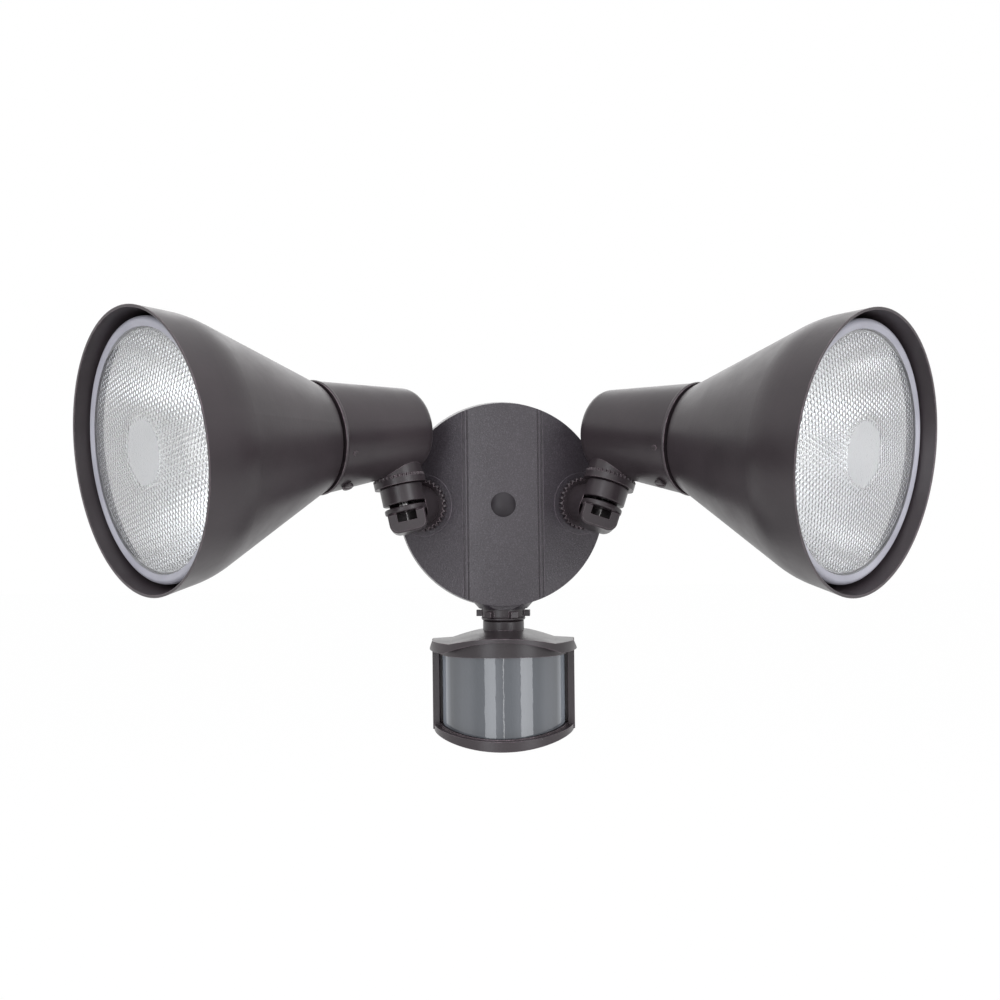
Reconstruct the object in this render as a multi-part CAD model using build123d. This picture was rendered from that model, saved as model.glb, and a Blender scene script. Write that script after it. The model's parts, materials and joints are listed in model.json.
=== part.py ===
from build123d import *
from math import cos, pi, radians, sin, sqrt, tan
import os

# A wall light with two aimed reflector lamps and a motion sensor below them.
# Millimetres. The origin is the middle of the wall plane behind the round canopy,
# +X is to the viewer's right, -Y points out of the wall and +Z is up.

# Clearances, and how far a cutting shape runs past what it cuts
MOVING_GAP = 0.3
SEAT_GAP = 0.1
THREAD_GAP = 0.25
OVERRUN = 1.0

# Shares of a tooth's pitch where its rising flank, flat top and falling flank end
TOOTH_RISE = 0.22
TOOTH_TOP = 0.5
TOOTH_FALL = 0.72

# Canopy, gasket and strap
GASKET_THICKNESS = 2.0
GASKET_WIDTH = 6.0
CANOPY_RADIUS = 57.15
CANOPY_DEPTH = 28.0
CANOPY_WALL = 2.6
CANOPY_DRAFT = 3.0
BAND_HALF_WIDTH = 20.0
BAND_CROWN = 1.2
FACET_ANGLE = 25.0
GROOVE_WIDTH = 1.0
GROOVE_DEPTH = 1.0
GROOVE_SPACING = 2.2
STRAP_WIDTH = 16.0
STRAP_THICKNESS = 2.0
STRAP_SLOT_INSET = 15.15
STRAP_SLOT_LENGTH = 14.0
STRAP_SLOT_RADIUS = 2.4

# Middle screw and its plug
MOUNTING_SCREW_RADIUS = 2.4
MOUNTING_HEAD_RADIUS = 4.6
MOUNTING_HEAD_HEIGHT = 2.6
MOUNTING_SLOT_WIDTH = 1.2
MOUNTING_SLOT_DEPTH = 1.2
PLUG_WELL_RADIUS = 5.6
PLUG_WELL_DEPTH = 7.0
PLUG_WELL_FLOOR = 2.6
PLUG_CAP_RADIUS = 6.6
PLUG_CAP_HEIGHT = 2.2
PLUG_STEM_LENGTH = 3.6
PLUG_BORE_RADIUS = 3.4
GROUND_SCREW_X = 15.0
GROUND_SCREW_RADIUS = 2.0
GROUND_HEAD_RADIUS = 4.0
GROUND_HEAD_HEIGHT = 2.4
GROUND_SLOT_WIDTH = 1.0
GROUND_SLOT_DEPTH = 1.2

# Arm seats, locknuts and arms
ARM_X = 42.75
SEAT_RADIUS = 16.8
SEAT_HEIGHT = 0.5
ARM_BOSS_RADIUS = 14.6
ARM_BOSS_LENGTH = 9.0
ARM_THREAD_RADIUS = 10.4
ARM_THREAD_LENGTH = 12.0
LOCKNUT_RADIUS = 14.2
LOCKNUT_THICKNESS = 2.6
LOCKNUT_TEETH = 30
TOOTH_DEPTH = 1.4
TOOTH_BEVEL = 0.7
STEM_RADIUS = 10.7
STEM_BORE_RADIUS = 6.0
STEM_BORE_END = 13.0
WIRE_BORE_RADIUS = 3.2
KNUCKLE_REACH = 22.1
EAR_RADIUS = 11.2
EAR_TOP = 10.4
EAR_BOTTOM = 1.1
EAR_BORE_RADIUS = 7.4
EAR_EDGE_ROUND = 0.6

# Knuckle cap, nut and screw
CAP_RADIUS = 11.0
CAP_TOP = -0.7
CAP_DISC_HEIGHT = 2.9
CAP_HEIGHT = 13.6
CAP_HALF_WIDTH = 9.8
CAP_FRONT = 9.2
CAP_TURN = 26.0
CAP_CORNER_RADIUS = 4.6
CAP_EDGE_ROUND = 0.8
CLAMP_SCREW_RADIUS = 3.0
CLAMP_HEX_WIDTH = 10.0
CLAMP_NUT_THICKNESS = 5.0
CLAMP_HEAD_HEIGHT = 4.0
CLAMP_SCREW_TAIL = 1.0
CAP_SCREW_FLOOR = 2.0

# Lampholder, its lock ring and how each lamp is aimed
LAMP_HEIGHT = 40.1
LAMP_LEAN = {"left": 13.3, "right": 21.1}
LAMP_TURN = {"left": 24.9, "right": 18.8}
LOCK_RING_RADIUS = 13.6
LOCK_RING_HEIGHT = 4.7
LOCK_RING_TEETH = 36
LOCK_RING_TOOTH_HEIGHT = 1.3
LOCK_RING_TOOTH_DEPTH = 0.7
SPIGOT_RADIUS = 9.4
BOSS_RADIUS = 12.9
BOSS_FLOOR = 2.7
BOSS_BORE_RADIUS = 9.5
BRIDGE_HALF_WIDTH = 5.4
HOLDER_BACK = 15.0
HOLDER_FRONT = 47.5
HOLDER_REAR_RADIUS = 22.0
HOLDER_REAR_ROUND = 6.5
HOLDER_FRONT_RADIUS = 28.6
HOLDER_WALL = 2.8
BEAD_RADIUS = 1.0
BEAD_RISE = 0.3
RIVET_RADIUS = 1.3
RIVET_HEIGHT = 0.6
RIVET_ANGLE = 31.0
RIVET_INSET = 6.0

# Shade
SHADE_SHEET = 1.2
SHADE_NECK_RADIUS = 25.6
SHADE_NECK_LENGTH = 16.0
SHADE_GAP = 2.0
SHADE_SMALL_RADIUS = 28.3
SHADE_BULB_SPACE = 3.7
SHADE_BAND_LENGTH = 21.8
SHADE_BAND_FLARE = 3.9
SHADE_BEND_RADIUS = 50.0
SHADE_SCREW_RADIUS = 1.7
SHADE_SCREW_HEAD_RADIUS = 2.9
SHADE_SCREW_HEAD_HEIGHT = 1.5
SHADE_SCREW_INSET = 9.0
SHADE_SCREW_ANGLES = (75.0, 255.0)
SHADE_SCREW_STICK_OUT = 0.2
SHADE_SCREW_ROUND = 0.6
SHADE_SCREW_SLOT_WIDTH = 0.8
SHADE_SCREW_SLOT_DEPTH = 0.7

# Socket and gasket
SOCKET_RADIUS = 17.0
SOCKET_BORE_RADIUS = 14.3
SOCKET_LENGTH = 43.0
SOCKET_FLOOR = 14.0
SOCKET_EDGE = 1.2
SHELL_RADIUS = 14.1
SHELL_SHEET = 0.35
SHELL_FROM_CONTACT = 3.0
THREAD_PITCH = 3.63
THREAD_WAVE = 0.35
THREAD_TURNS = 6
CONTACT_RADIUS = 4.4
CONTACT_THICKNESS = 1.2
CONTACT_HEIGHT = 3.2
LAMP_GASKET_LENGTH = 6.0
LAMP_GASKET_LIP = 0.9

# Reflector bulb
BULB_RADIUS = 60.3
BULB_RIM_BEHIND_SHADE = 5.5
BULB_RIM_LENGTH = 8.4
BULB_RIM_FACE = 4.6
BULB_CROWN = 3.8
BULB_RIM_STEP = 1.0
BULB_LENS_GLASS = 3.6
BULB_GLASS = 2.4
BULB_DISH_STEP = 1.5
BULB_DISH_LENGTH = 58.0
BULB_DISH_NECK_RADIUS = 25.5
BULB_NECK_FRONT_RADIUS = 21.5
BULB_NECK_REAR_RADIUS = 18.0
BULB_NECK_LENGTHS = (24.0, 9.0, 5.5)
BULB_BASE_RADIUS = 13.2
BULB_BASE_SHEET = 1.4
BULB_BASE_LENGTH = 20.7
BULB_INSULATOR_LENGTH = 4.2
BULB_TIP_RADIUS = 4.2
BULB_TIP_LENGTH = 1.4
BULB_TIP_BEVEL = 1.0
CAPSULE_RADIUS = 6.5
CAPSULE_LENGTH = 34.0
CAPSULE_ROUND = 5.2
DISH_STEPS = 6

# Sensor stem and locknut
SENSOR_Y = -16.0
HUB_RADIUS = 13.4
HUB_RISE = 0.75
HUB_HEIGHT = 12.0
HUB_FLARE_RADIUS = 18.1
HUB_FLARE_HEIGHT = 5.3
HUB_FRONT_STEP = 1.0
SENSOR_THREAD_RADIUS = 10.4
SENSOR_THREAD_RISE = 3.0
SENSOR_NUT_HEIGHT = 4.4
SENSOR_NUT_RADIUS = 11.9
SENSOR_LUG_RADIUS = 14.6
SENSOR_LUG_WIDTH = 4.2
SENSOR_LUG_STEP = 1.2
SENSOR_LUG_START = -8.0
SENSOR_LUGS = 6
SHOULDER_RADIUS = 12.0
SHOULDER_HEIGHT = 2.1
SHOULDER_ROUND = 1.0
COLLAR_RADIUS = 11.2
COLLAR_HEIGHT = 4.7
COLLAR_ROUND = 0.5
COLLAR_GAP = 0.2
SPINDLE_RADIUS = 7.6
SPINDLE_BORE_RADIUS = 5.0
SPINDLE_TAIL = 1.6
CLIP_GROOVE_DEPTH = 0.8
CLIP_THICKNESS = 1.2
CLIP_RADIUS = 10.0
CLIP_OPENING = 6.0

# Sensor head, with heights measured from its top
SENSOR_PAN = 4.0
HEAD_TOP = 0.0
HOOD_SHOULDER = -3.9
HOOD_SHOULDER_X = 27.5
HOOD_SIDE = -9.3
HOOD_LIP = -2.0
HOOD_RADIUS = 39.6
HOOD_CORNER = 0.6
HOOD_LENS_OVERLAP = 2.0
HEAD_HALF_WIDTH = 38.0
HEAD_BOTTOM_SIDE = -52.0
HEAD_BOTTOM = -57.8
ARC_CENTRE_Y = -24.5
BROW_RADIUS = 34.4
CHIN_RADIUS = 37.6
CHIN_LIP = 0.5
EAR_FRONT_Y = -29.0
REAR_HALF_WIDTH = 14.0
REAR_Y = -9.0
FLANK_HALF_WIDTH = 25.0
FLANK_Y = -17.5
HEAD_WALL = 2.0
EAR_WIDTH = 3.6
HEAD_SPLIT_Y = -20.0
BACK_TOP = -20.2
BACK_BOTTOM = -49.2
SOCKET_BOSS_RADIUS = 12.5
SOCKET_BOSS_BOTTOM = -14.2
WINDOW_BEHIND_AXIS = 1.4
LENS_RADIUS = 32.9
LENS_SHEET = 1.5
LENS_TOP_CENTRE = -10.5
LENS_TOP_SIDE = -11.9
LENS_BOTTOM_CENTRE = -52.0
LENS_BOTTOM_SIDE = -48.6
LENS_BEHIND_AXIS = 1.2

# Electronics
BOARD_HALF_WIDTH = 26.0
BOARD_TOP = -22.2
BOARD_BOTTOM = -46.2
BOARD_THICKNESS = 1.6
BOARD_Y = -25.0
POST_RADIUS = 2.2
POST_X = 9.0
POST_INSET = 4.0
DETECTOR_RADIUS = 4.6
DETECTOR_HEIGHT = 4.2
DETECTOR_WINDOW = (4.0, 0.4, 3.0)
DETECTOR_Z = -31.2
LIGHT_CELL_RADIUS = 2.5
LIGHT_CELL_HEIGHT = 3.0
LIGHT_CELL_X = 16.0
LIGHT_CELL_Z = -39.2
RELAY_SIZE = (11.0, 7.0, 12.0)
RELAY_X = -18.0
CAPACITOR_RADIUS = 4.0
CAPACITOR_HEIGHT = 10.0
CAPACITOR_X = 19.0
CAPACITOR_INSET = 5.0
CAPACITOR_ROUND = 0.8
CASE_SCREW_RADIUS = 1.3
CASE_SCREW_HEAD_RADIUS = 2.4
CASE_SCREW_HEAD_HEIGHT = 1.4
CASE_SCREW_LENGTH = 6.5
CASE_SCREW_TIP_SPACE = 0.5
CASE_SCREW_CROSS = (3.0, 0.7, 0.8)

# Controls under the sensor
CONTROL_FLOOR = -54.0
CONTROL_Y = -41.0
CONTROL_WELL = (40.0, 15.0)
CONTROL_WELL_WALL = 1.0
CONTROL_WELL_FLOOR = 1.2
KNOB_X = -10.5
KNOB_RADIUS = 4.8
KNOB_HEIGHT = 3.0
KNOB_SLOT_WIDTH = 1.2
KNOB_SLOT_DEPTH = 1.0
KNOB_SHAFT_RADIUS = 2.0
SWITCH_X = 6.0
SWITCH_TRAVEL = 8.0
SWITCH_SIZE = (4.0, 5.0, 2.6)
SWITCH_STEM_WIDTH = 2.4
SWITCH_ROUND = 0.6
CONTROL_STEM_LENGTH = 4.0

SIDES = {"left": -1, "right": 1}
STANDING = (Align.CENTER, Align.CENTER, Align.MIN)
CANOPY_FRONT = GASKET_THICKNESS + CANOPY_DEPTH
FAR = 3 * CANOPY_RADIUS
BAND_FRONT = -CANOPY_FRONT - BAND_CROWN
WELL_FLOOR = BAND_FRONT + PLUG_WELL_DEPTH
SEAT_Y = -CANOPY_FRONT + (ARM_X - BAND_HALF_WIDTH) * tan(radians(FACET_ANGLE))
LOCK_RING_BOTTOM = EAR_TOP + COLLAR_GAP
LOCK_RING_TOP = LOCK_RING_BOTTOM + LOCK_RING_HEIGHT
CAP_BOTTOM = CAP_TOP - CAP_HEIGHT
NUT_TOP = CAP_TOP - CAP_DISC_HEIGHT
SHADE_SEAT_START = HOLDER_FRONT - SHADE_NECK_LENGTH
CAVITY_BACK = -HOLDER_BACK + HOLDER_WALL
SHADE_RIM_RADIUS = BULB_RADIUS + SHADE_BULB_SPACE + SHADE_SHEET
SOCKET_FRONT = CAVITY_BACK + SOCKET_LENGTH
BULB_TIP = CAVITY_BACK + SOCKET_FLOOR + CONTACT_HEIGHT + SEAT_GAP
BASE_START = BULB_TIP + BULB_TIP_LENGTH + BULB_INSULATOR_LENGTH
BASE_END = BASE_START + BULB_BASE_LENGTH
DISH_BACK = BASE_END + sum(BULB_NECK_LENGTHS)
BULB_DISH_RADIUS = BULB_RADIUS - BULB_DISH_STEP
BULB_JOINT = DISH_BACK + BULB_DISH_LENGTH
BULB_RIM = BULB_JOINT + BULB_RIM_LENGTH
SHADE_RIM = BULB_RIM + BULB_RIM_BEHIND_SHADE
BULB_VERTEX = DISH_BACK - BULB_GLASS - BULB_DISH_NECK_RADIUS / 3
HUB_BOTTOM = HUB_RISE - CANOPY_RADIUS
HUB_TOP = HUB_BOTTOM + HUB_HEIGHT
SENSOR_THREAD_TOP = HUB_TOP + SENSOR_THREAD_RISE
SENSOR_NUT_BOTTOM = HUB_BOTTOM - SENSOR_NUT_HEIGHT
SHOULDER_BOTTOM = SENSOR_NUT_BOTTOM - SHOULDER_HEIGHT
COLLAR_TOP = SHOULDER_BOTTOM - COLLAR_GAP
HEAD_Z = COLLAR_TOP - COLLAR_HEIGHT
CLIP_TOP = HEAD_Z + SOCKET_BOSS_BOTTOM - COLLAR_GAP
CLIP_BOTTOM = CLIP_TOP - CLIP_THICKNESS
SPINDLE_BOTTOM = CLIP_BOTTOM - SPINDLE_TAIL
EAR_INSIDE = HEAD_HALF_WIDTH - EAR_WIDTH
BOARD_FRONT = BOARD_Y - BOARD_THICKNESS
CONTROL_TOP = CONTROL_FLOOR - MOVING_GAP
CONTROL_STEM_TOP = CONTROL_FLOOR + CONTROL_STEM_LENGTH


def rod(radius, low, high):
    """Upright cylinder between two heights."""
    return Pos(0, 0, low) * Cylinder(radius, high - low, align=STANDING)


def tube_z(radius, low, high, bore=0.0):
    """Upright cylinder, or a ring if it has a bore."""
    return rod(radius, low, high) - rod(bore, low, high) if bore else rod(radius, low, high)


def tube_x(radius, start, end, bore=0.0):
    """Cylinder or ring along X."""
    return Rot(0, 90, 0) * tube_z(radius, start, end, bore)


def tube_y(radius, start, end, bore=0.0):
    """Cylinder or ring along Y, from start out of the wall to end."""
    return Rot(-90, 0, 0) * tube_z(radius, start, end, bore)


def block(x_range, y_range, z_range):
    """Box between two corners."""
    low = Vector(x_range[0], y_range[0], z_range[0])
    size = Vector(x_range[1], y_range[1], z_range[1]) - low
    corner = (Align.MIN, Align.MIN, Align.MIN)
    return Pos(low.X, low.Y, low.Z) * Box(size.X, size.Y, size.Z, align=corner)


def turned_x(*points):
    """Solid turned about X from its (x, radius) outline."""
    return revolve(make_face(Polyline(*points, close=True)), Axis.X)


def turned_wire_x(edges):
    """Solid turned about X from the joined edges of its outline."""
    return revolve(make_face(edges), Axis.X)


def toothed_disc(tip_radius, root_radius, teeth, height):
    """Disc with flat-topped teeth all round, standing on the XY plane."""
    points = []
    step = 2 * pi / teeth
    for tooth in range(teeth):
        corners = ((root_radius, 0), (tip_radius, TOOTH_RISE),
                   (tip_radius, TOOTH_TOP), (root_radius, TOOTH_FALL))
        for radius, share in corners:
            angle = (tooth + share) * step
            points.append((radius * cos(angle), radius * sin(angle)))
    return extrude(make_face(Polyline(*points, close=True)), height, dir=(0, 0, 1))


def hexagon_bar(width, low, high):
    """Hexagonal bar of a given width across flats, with flats facing +X and -X."""
    outline = Rot(0, 0, 30) * RegularPolygon(width / 2, 6, major_radius=False)
    return extrude(Pos(0, 0, low) * outline, high - low, dir=(0, 0, 1))


def arm_direction(side):
    """Direction of an arm out of its facet."""
    return Vector(side * sin(radians(FACET_ANGLE)), -cos(radians(FACET_ANGLE)), 0)


def seat_location(side):
    """Frame on a facet: Z out along the arm, X up."""
    origin = Vector(side * ARM_X, SEAT_Y, 0)
    return Location(Plane(origin, x_dir=(0, 0, 1), z_dir=arm_direction(side)))


def knuckle_location(name):
    """Frame on a knuckle: Z up along its screw, X out along the arm."""
    side = SIDES[name]
    outward = arm_direction(side)
    lean = radians(LAMP_LEAN[name])
    turn = radians(FACET_ANGLE)
    up = Vector(side * sin(lean) * cos(turn), sin(lean) * sin(turn), cos(lean))
    origin = Vector(side * ARM_X, SEAT_Y, 0) + outward * KNUCKLE_REACH
    return Location(Plane(origin, x_dir=outward, z_dir=up))


def lamp_location(name):
    """Frame on a lamp's axis above its knuckle: X forward, Z up along the screw."""
    return knuckle_location(name) * Pos(0, 0, LAMP_HEIGHT) * Rot(0, 0, SIDES[name] * LAMP_TURN[name])


def canopy_block(inset):
    """Canopy's outside shape, moved inwards by inset."""
    front = -CANOPY_FRONT + inset
    reach = CANOPY_RADIUS + OVERRUN
    side = front + (reach - BAND_HALF_WIDTH) * tan(radians(FACET_ANGLE))
    outline = Polyline((-BAND_HALF_WIDTH, front), (-reach, side), (-reach, 0), (reach, 0),
                       (reach, side), (BAND_HALF_WIDTH, front))
    crown = ThreePointArc((BAND_HALF_WIDTH, front), (0, front - BAND_CROWN), (-BAND_HALF_WIDTH, front))
    plan = make_face(outline.edges() + crown.edges())
    return extrude(Pos(0, 0, -reach) * plan, 2 * reach, dir=(0, 0, 1))


def canopy_limit(inset):
    """Drafted round that the canopy's outside is cut to."""
    depth = CANOPY_FRONT + BAND_CROWN + OVERRUN - GASKET_THICKNESS
    cone = Cone(CANOPY_RADIUS - inset, CANOPY_RADIUS - CANOPY_DRAFT - inset, depth, align=STANDING)
    return Pos(0, -GASKET_THICKNESS, 0) * Rot(90, 0, 0) * cone


def canopy_grooves():
    """Two fine upright grooves along each edge of the middle band."""
    cuts = []
    for side in (-1, 1):
        for line in (0, 1):
            x = side * (BAND_HALF_WIDTH - GROOVE_SPACING * (line - 1 / 2))
            past_edge = max(abs(x) - BAND_HALF_WIDTH, 0)
            front = -CANOPY_FRONT + past_edge * tan(radians(FACET_ANGLE))
            cuts.append(block((x - GROOVE_WIDTH / 2, x + GROOVE_WIDTH / 2),
                              (front - BAND_CROWN, front + GROOVE_DEPTH),
                              (-CANOPY_RADIUS, CANOPY_RADIUS)))
    return cuts


def hub_zone():
    """Space that the sensor's hub may fill, from just behind the canopy's front to the gasket."""
    return block((-HUB_FLARE_RADIUS, HUB_FLARE_RADIUS), (HUB_FRONT_STEP - CANOPY_FRONT, -GASKET_THICKNESS),
                 (HUB_BOTTOM, HUB_TOP))


def canopy():
    """Hollow round cover with a flat middle band, two slanted facets and the bosses behind them."""
    body = canopy_block(0)
    for side in (-1, 1):
        body += seat_location(side) * tube_z(SEAT_RADIUS, -SEAT_HEIGHT, SEAT_HEIGHT)
    body &= canopy_limit(0)
    body += hub_zone() & on_stem(Pos(0, 0, HUB_BOTTOM) * Cone(HUB_RADIUS, HUB_FLARE_RADIUS, HUB_FLARE_HEIGHT,
                                                              align=STANDING))
    body -= canopy_block(CANOPY_WALL) & canopy_limit(CANOPY_WALL)
    body += hub_zone() & on_stem(tube_z(HUB_RADIUS, HUB_BOTTOM, HUB_TOP))
    body -= on_stem(tube_z(SENSOR_LUG_RADIUS + MOVING_GAP, -FAR, HUB_BOTTOM))
    for side in (-1, 1):
        boss = seat_location(side) * tube_z(ARM_BOSS_RADIUS, -ARM_BOSS_LENGTH, 0)
        body += boss & canopy_limit(0)
        body -= seat_location(side) * tube_z(ARM_THREAD_RADIUS + THREAD_GAP, -CANOPY_DEPTH, OVERRUN)
    body -= on_stem(tube_z(SENSOR_THREAD_RADIUS + THREAD_GAP, HUB_BOTTOM - OVERRUN, HUB_TOP + OVERRUN))
    body += tube_y(PLUG_WELL_RADIUS + CANOPY_WALL, BAND_FRONT + OVERRUN, WELL_FLOOR + PLUG_WELL_FLOOR)
    body -= tube_y(PLUG_WELL_RADIUS, BAND_FRONT - OVERRUN, WELL_FLOOR)
    body -= tube_y(MOUNTING_SCREW_RADIUS + THREAD_GAP, BAND_FRONT, WELL_FLOOR + PLUG_WELL_FLOOR + OVERRUN)
    for cut in canopy_grooves():
        body -= cut
    return body


def wall_gasket():
    """Flat foam ring between the canopy and the wall."""
    return tube_y(CANOPY_RADIUS, -GASKET_THICKNESS, 0, CANOPY_RADIUS - GASKET_WIDTH)


def mounting_strap():
    """Bar behind the canopy with two slots for the wall box screws."""
    strap = block((-CANOPY_RADIUS, CANOPY_RADIUS), (-STRAP_THICKNESS, 0), (-STRAP_WIDTH / 2, STRAP_WIDTH / 2))
    strap &= tube_y(CANOPY_RADIUS - GASKET_WIDTH - MOVING_GAP, -CANOPY_FRONT, CANOPY_FRONT)
    for side in (-1, 1):
        slot = extrude(SlotOverall(STRAP_SLOT_LENGTH, 2 * STRAP_SLOT_RADIUS), 2 * STRAP_THICKNESS, both=True)
        strap -= Pos(side * (CANOPY_RADIUS - STRAP_SLOT_INSET), 0, 0) * Rot(90, 0, 0) * slot
    strap -= tube_y(MOUNTING_SCREW_RADIUS + SEAT_GAP / 2, -CANOPY_FRONT, CANOPY_FRONT)
    strap -= Pos(GROUND_SCREW_X, 0, 0) * tube_y(GROUND_SCREW_RADIUS + SEAT_GAP / 2, -CANOPY_FRONT,
                                                CANOPY_FRONT)
    return strap


def slotted_head(radius, front, height, slot_width, slot_depth):
    """Screw head along Y whose slot, open to the viewer, lies across."""
    slot = block((-radius, radius), (front - OVERRUN, front + slot_depth), (-slot_width / 2, slot_width / 2))
    return tube_y(radius, front, front + height) - slot


def mounting_screw():
    """Screw that draws the canopy onto the strap."""
    screw = tube_y(MOUNTING_SCREW_RADIUS, WELL_FLOOR, -STRAP_THICKNESS / 4)
    return screw + slotted_head(MOUNTING_HEAD_RADIUS, WELL_FLOOR - MOUNTING_HEAD_HEIGHT, MOUNTING_HEAD_HEIGHT,
                                MOUNTING_SLOT_WIDTH, MOUNTING_SLOT_DEPTH)


def centre_plug():
    """Domed rubber plug over the mounting screw."""
    stem_end = BAND_FRONT + PLUG_STEM_LENGTH
    plug = tube_y(PLUG_WELL_RADIUS - SEAT_GAP / 2, BAND_FRONT, stem_end, PLUG_BORE_RADIUS)
    sphere_radius = (PLUG_CAP_RADIUS ** 2 + PLUG_CAP_HEIGHT ** 2) / (2 * PLUG_CAP_HEIGHT)
    dome = Pos(0, BAND_FRONT - PLUG_CAP_HEIGHT + sphere_radius, 0) * Sphere(sphere_radius)
    return plug + (dome & tube_y(PLUG_CAP_RADIUS, BAND_FRONT - PLUG_CAP_HEIGHT - OVERRUN, BAND_FRONT))


def ground_screw():
    """Earth screw on the strap."""
    shank = tube_y(GROUND_SCREW_RADIUS, -STRAP_THICKNESS, -SEAT_GAP)
    head = slotted_head(GROUND_HEAD_RADIUS, -STRAP_THICKNESS - GROUND_HEAD_HEIGHT, GROUND_HEAD_HEIGHT,
                        GROUND_SLOT_WIDTH, GROUND_SLOT_DEPTH)
    return Pos(GROUND_SCREW_X, 0, 0) * (shank + head)


def arm_locknut(name):
    """Toothed ring that bites on the facet's seat round the arm's thread."""
    teeth = toothed_disc(LOCKNUT_RADIUS, LOCKNUT_RADIUS - TOOTH_DEPTH, LOCKNUT_TEETH, LOCKNUT_THICKNESS)
    bevel = Cone(LOCKNUT_RADIUS + LOCKNUT_THICKNESS - TOOTH_BEVEL, LOCKNUT_RADIUS - TOOTH_BEVEL,
                 LOCKNUT_THICKNESS, align=STANDING)
    ring = (teeth & bevel) - tube_z(ARM_THREAD_RADIUS + THREAD_GAP, -OVERRUN, LOCKNUT_THICKNESS + OVERRUN)
    return seat_location(SIDES[name]) * Pos(0, 0, SEAT_HEIGHT) * ring


def arm(name):
    """Hollow threaded stem and the knuckle ear that the lamp turns on."""
    inner = -KNUCKLE_REACH - ARM_THREAD_LENGTH
    shoulder = -KNUCKLE_REACH + SEAT_HEIGHT + LOCKNUT_THICKNESS + SEAT_GAP
    body = tube_x(ARM_THREAD_RADIUS, inner, shoulder) + tube_x(STEM_RADIUS, shoulder, 0)
    ring_clear = LOCK_RING_RADIUS + MOVING_GAP
    body -= tube_z(ring_clear, EAR_TOP, 2 * STEM_RADIUS)
    body -= tube_z(CAP_RADIUS + SEAT_GAP, -2 * STEM_RADIUS, EAR_BOTTOM)
    body -= block((0, 2 * STEM_RADIUS), (-2 * STEM_RADIUS, 2 * STEM_RADIUS), (-2 * STEM_RADIUS, EAR_BOTTOM))
    ear = tube_z(EAR_RADIUS, EAR_BOTTOM, EAR_TOP)
    ear = fillet(ear.edges().filter_by(GeomType.CIRCLE), EAR_EDGE_ROUND)
    body += ear
    body -= tube_z(EAR_BORE_RADIUS, EAR_BOTTOM - OVERRUN, EAR_TOP + OVERRUN)
    body -= tube_x(STEM_BORE_RADIUS, inner - OVERRUN, -STEM_BORE_END)
    wire_height = (EAR_TOP + EAR_BOTTOM) / 2 - SEAT_GAP
    body -= Pos(0, 0, wire_height) * tube_x(WIRE_BORE_RADIUS, -STEM_BORE_END - OVERRUN, 0)
    return knuckle_location(name) * body


def cap_outline():
    """Front view of the cap's tongue: a flat top and two rounded lower corners."""
    tongue = make_face(Polyline((-CAP_HALF_WIDTH, NUT_TOP), (-CAP_HALF_WIDTH, CAP_BOTTOM),
                                (CAP_HALF_WIDTH, CAP_BOTTOM), (CAP_HALF_WIDTH, NUT_TOP), close=True))
    return fillet(tongue.vertices().group_by(Axis.Y)[0], CAP_CORNER_RADIUS)


def knuckle_cap(name):
    """Lower half of the clamp, with a flat front and a pocket that holds the nut."""
    disc = tube_z(CAP_RADIUS, NUT_TOP, CAP_TOP)
    disc = fillet(disc.edges().filter_by(GeomType.CIRCLE), CAP_EDGE_ROUND)
    turned = Rot(0, 0, 90) * Rot(90, 0, 0)
    tongue = turned * extrude(cap_outline(), CAP_FRONT, dir=(0, 0, 1))
    tongue = chamfer(tongue.faces().sort_by(Axis.X)[-1].edges(), CAP_EDGE_ROUND)
    rear = turned * extrude(cap_outline(), CAP_HALF_WIDTH, dir=(0, 0, -1))
    tongue += rear & tube_z(CAP_HALF_WIDTH, CAP_BOTTOM, NUT_TOP)
    body = disc + tongue
    half_nut = CLAMP_HEX_WIDTH / 2 + SEAT_GAP
    reach = CLAMP_HEX_WIDTH / sqrt(3) + SEAT_GAP
    body -= block((-reach, CAP_FRONT + OVERRUN), (-half_nut, half_nut),
                  (NUT_TOP - CLAMP_NUT_THICKNESS - SEAT_GAP, NUT_TOP))
    body -= tube_z(CLAMP_SCREW_RADIUS + SEAT_GAP, CAP_BOTTOM + CAP_SCREW_FLOOR, CAP_TOP + OVERRUN)
    return knuckle_location(name) * Rot(0, 0, -SIDES[name] * CAP_TURN) * body


def clamp_nut(name):
    """Hexagon nut in the cap's pocket."""
    nut = hexagon_bar(CLAMP_HEX_WIDTH, NUT_TOP - CLAMP_NUT_THICKNESS, NUT_TOP)
    nut -= tube_z(CLAMP_SCREW_RADIUS + SEAT_GAP / 2, NUT_TOP - CLAMP_NUT_THICKNESS, NUT_TOP)
    return knuckle_location(name) * Rot(0, 0, 90 - SIDES[name] * CAP_TURN) * nut


def clamp_screw(name):
    """Screw from inside the lampholder's boss down into the nut."""
    floor_top = LOCK_RING_TOP + BOSS_FLOOR + COLLAR_GAP
    tail = NUT_TOP - CLAMP_NUT_THICKNESS - CLAMP_SCREW_TAIL
    screw = tube_z(CLAMP_SCREW_RADIUS, tail, floor_top)
    screw += hexagon_bar(CLAMP_HEX_WIDTH, floor_top, floor_top + CLAMP_HEAD_HEIGHT)
    return knuckle_location(name) * screw


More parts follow.
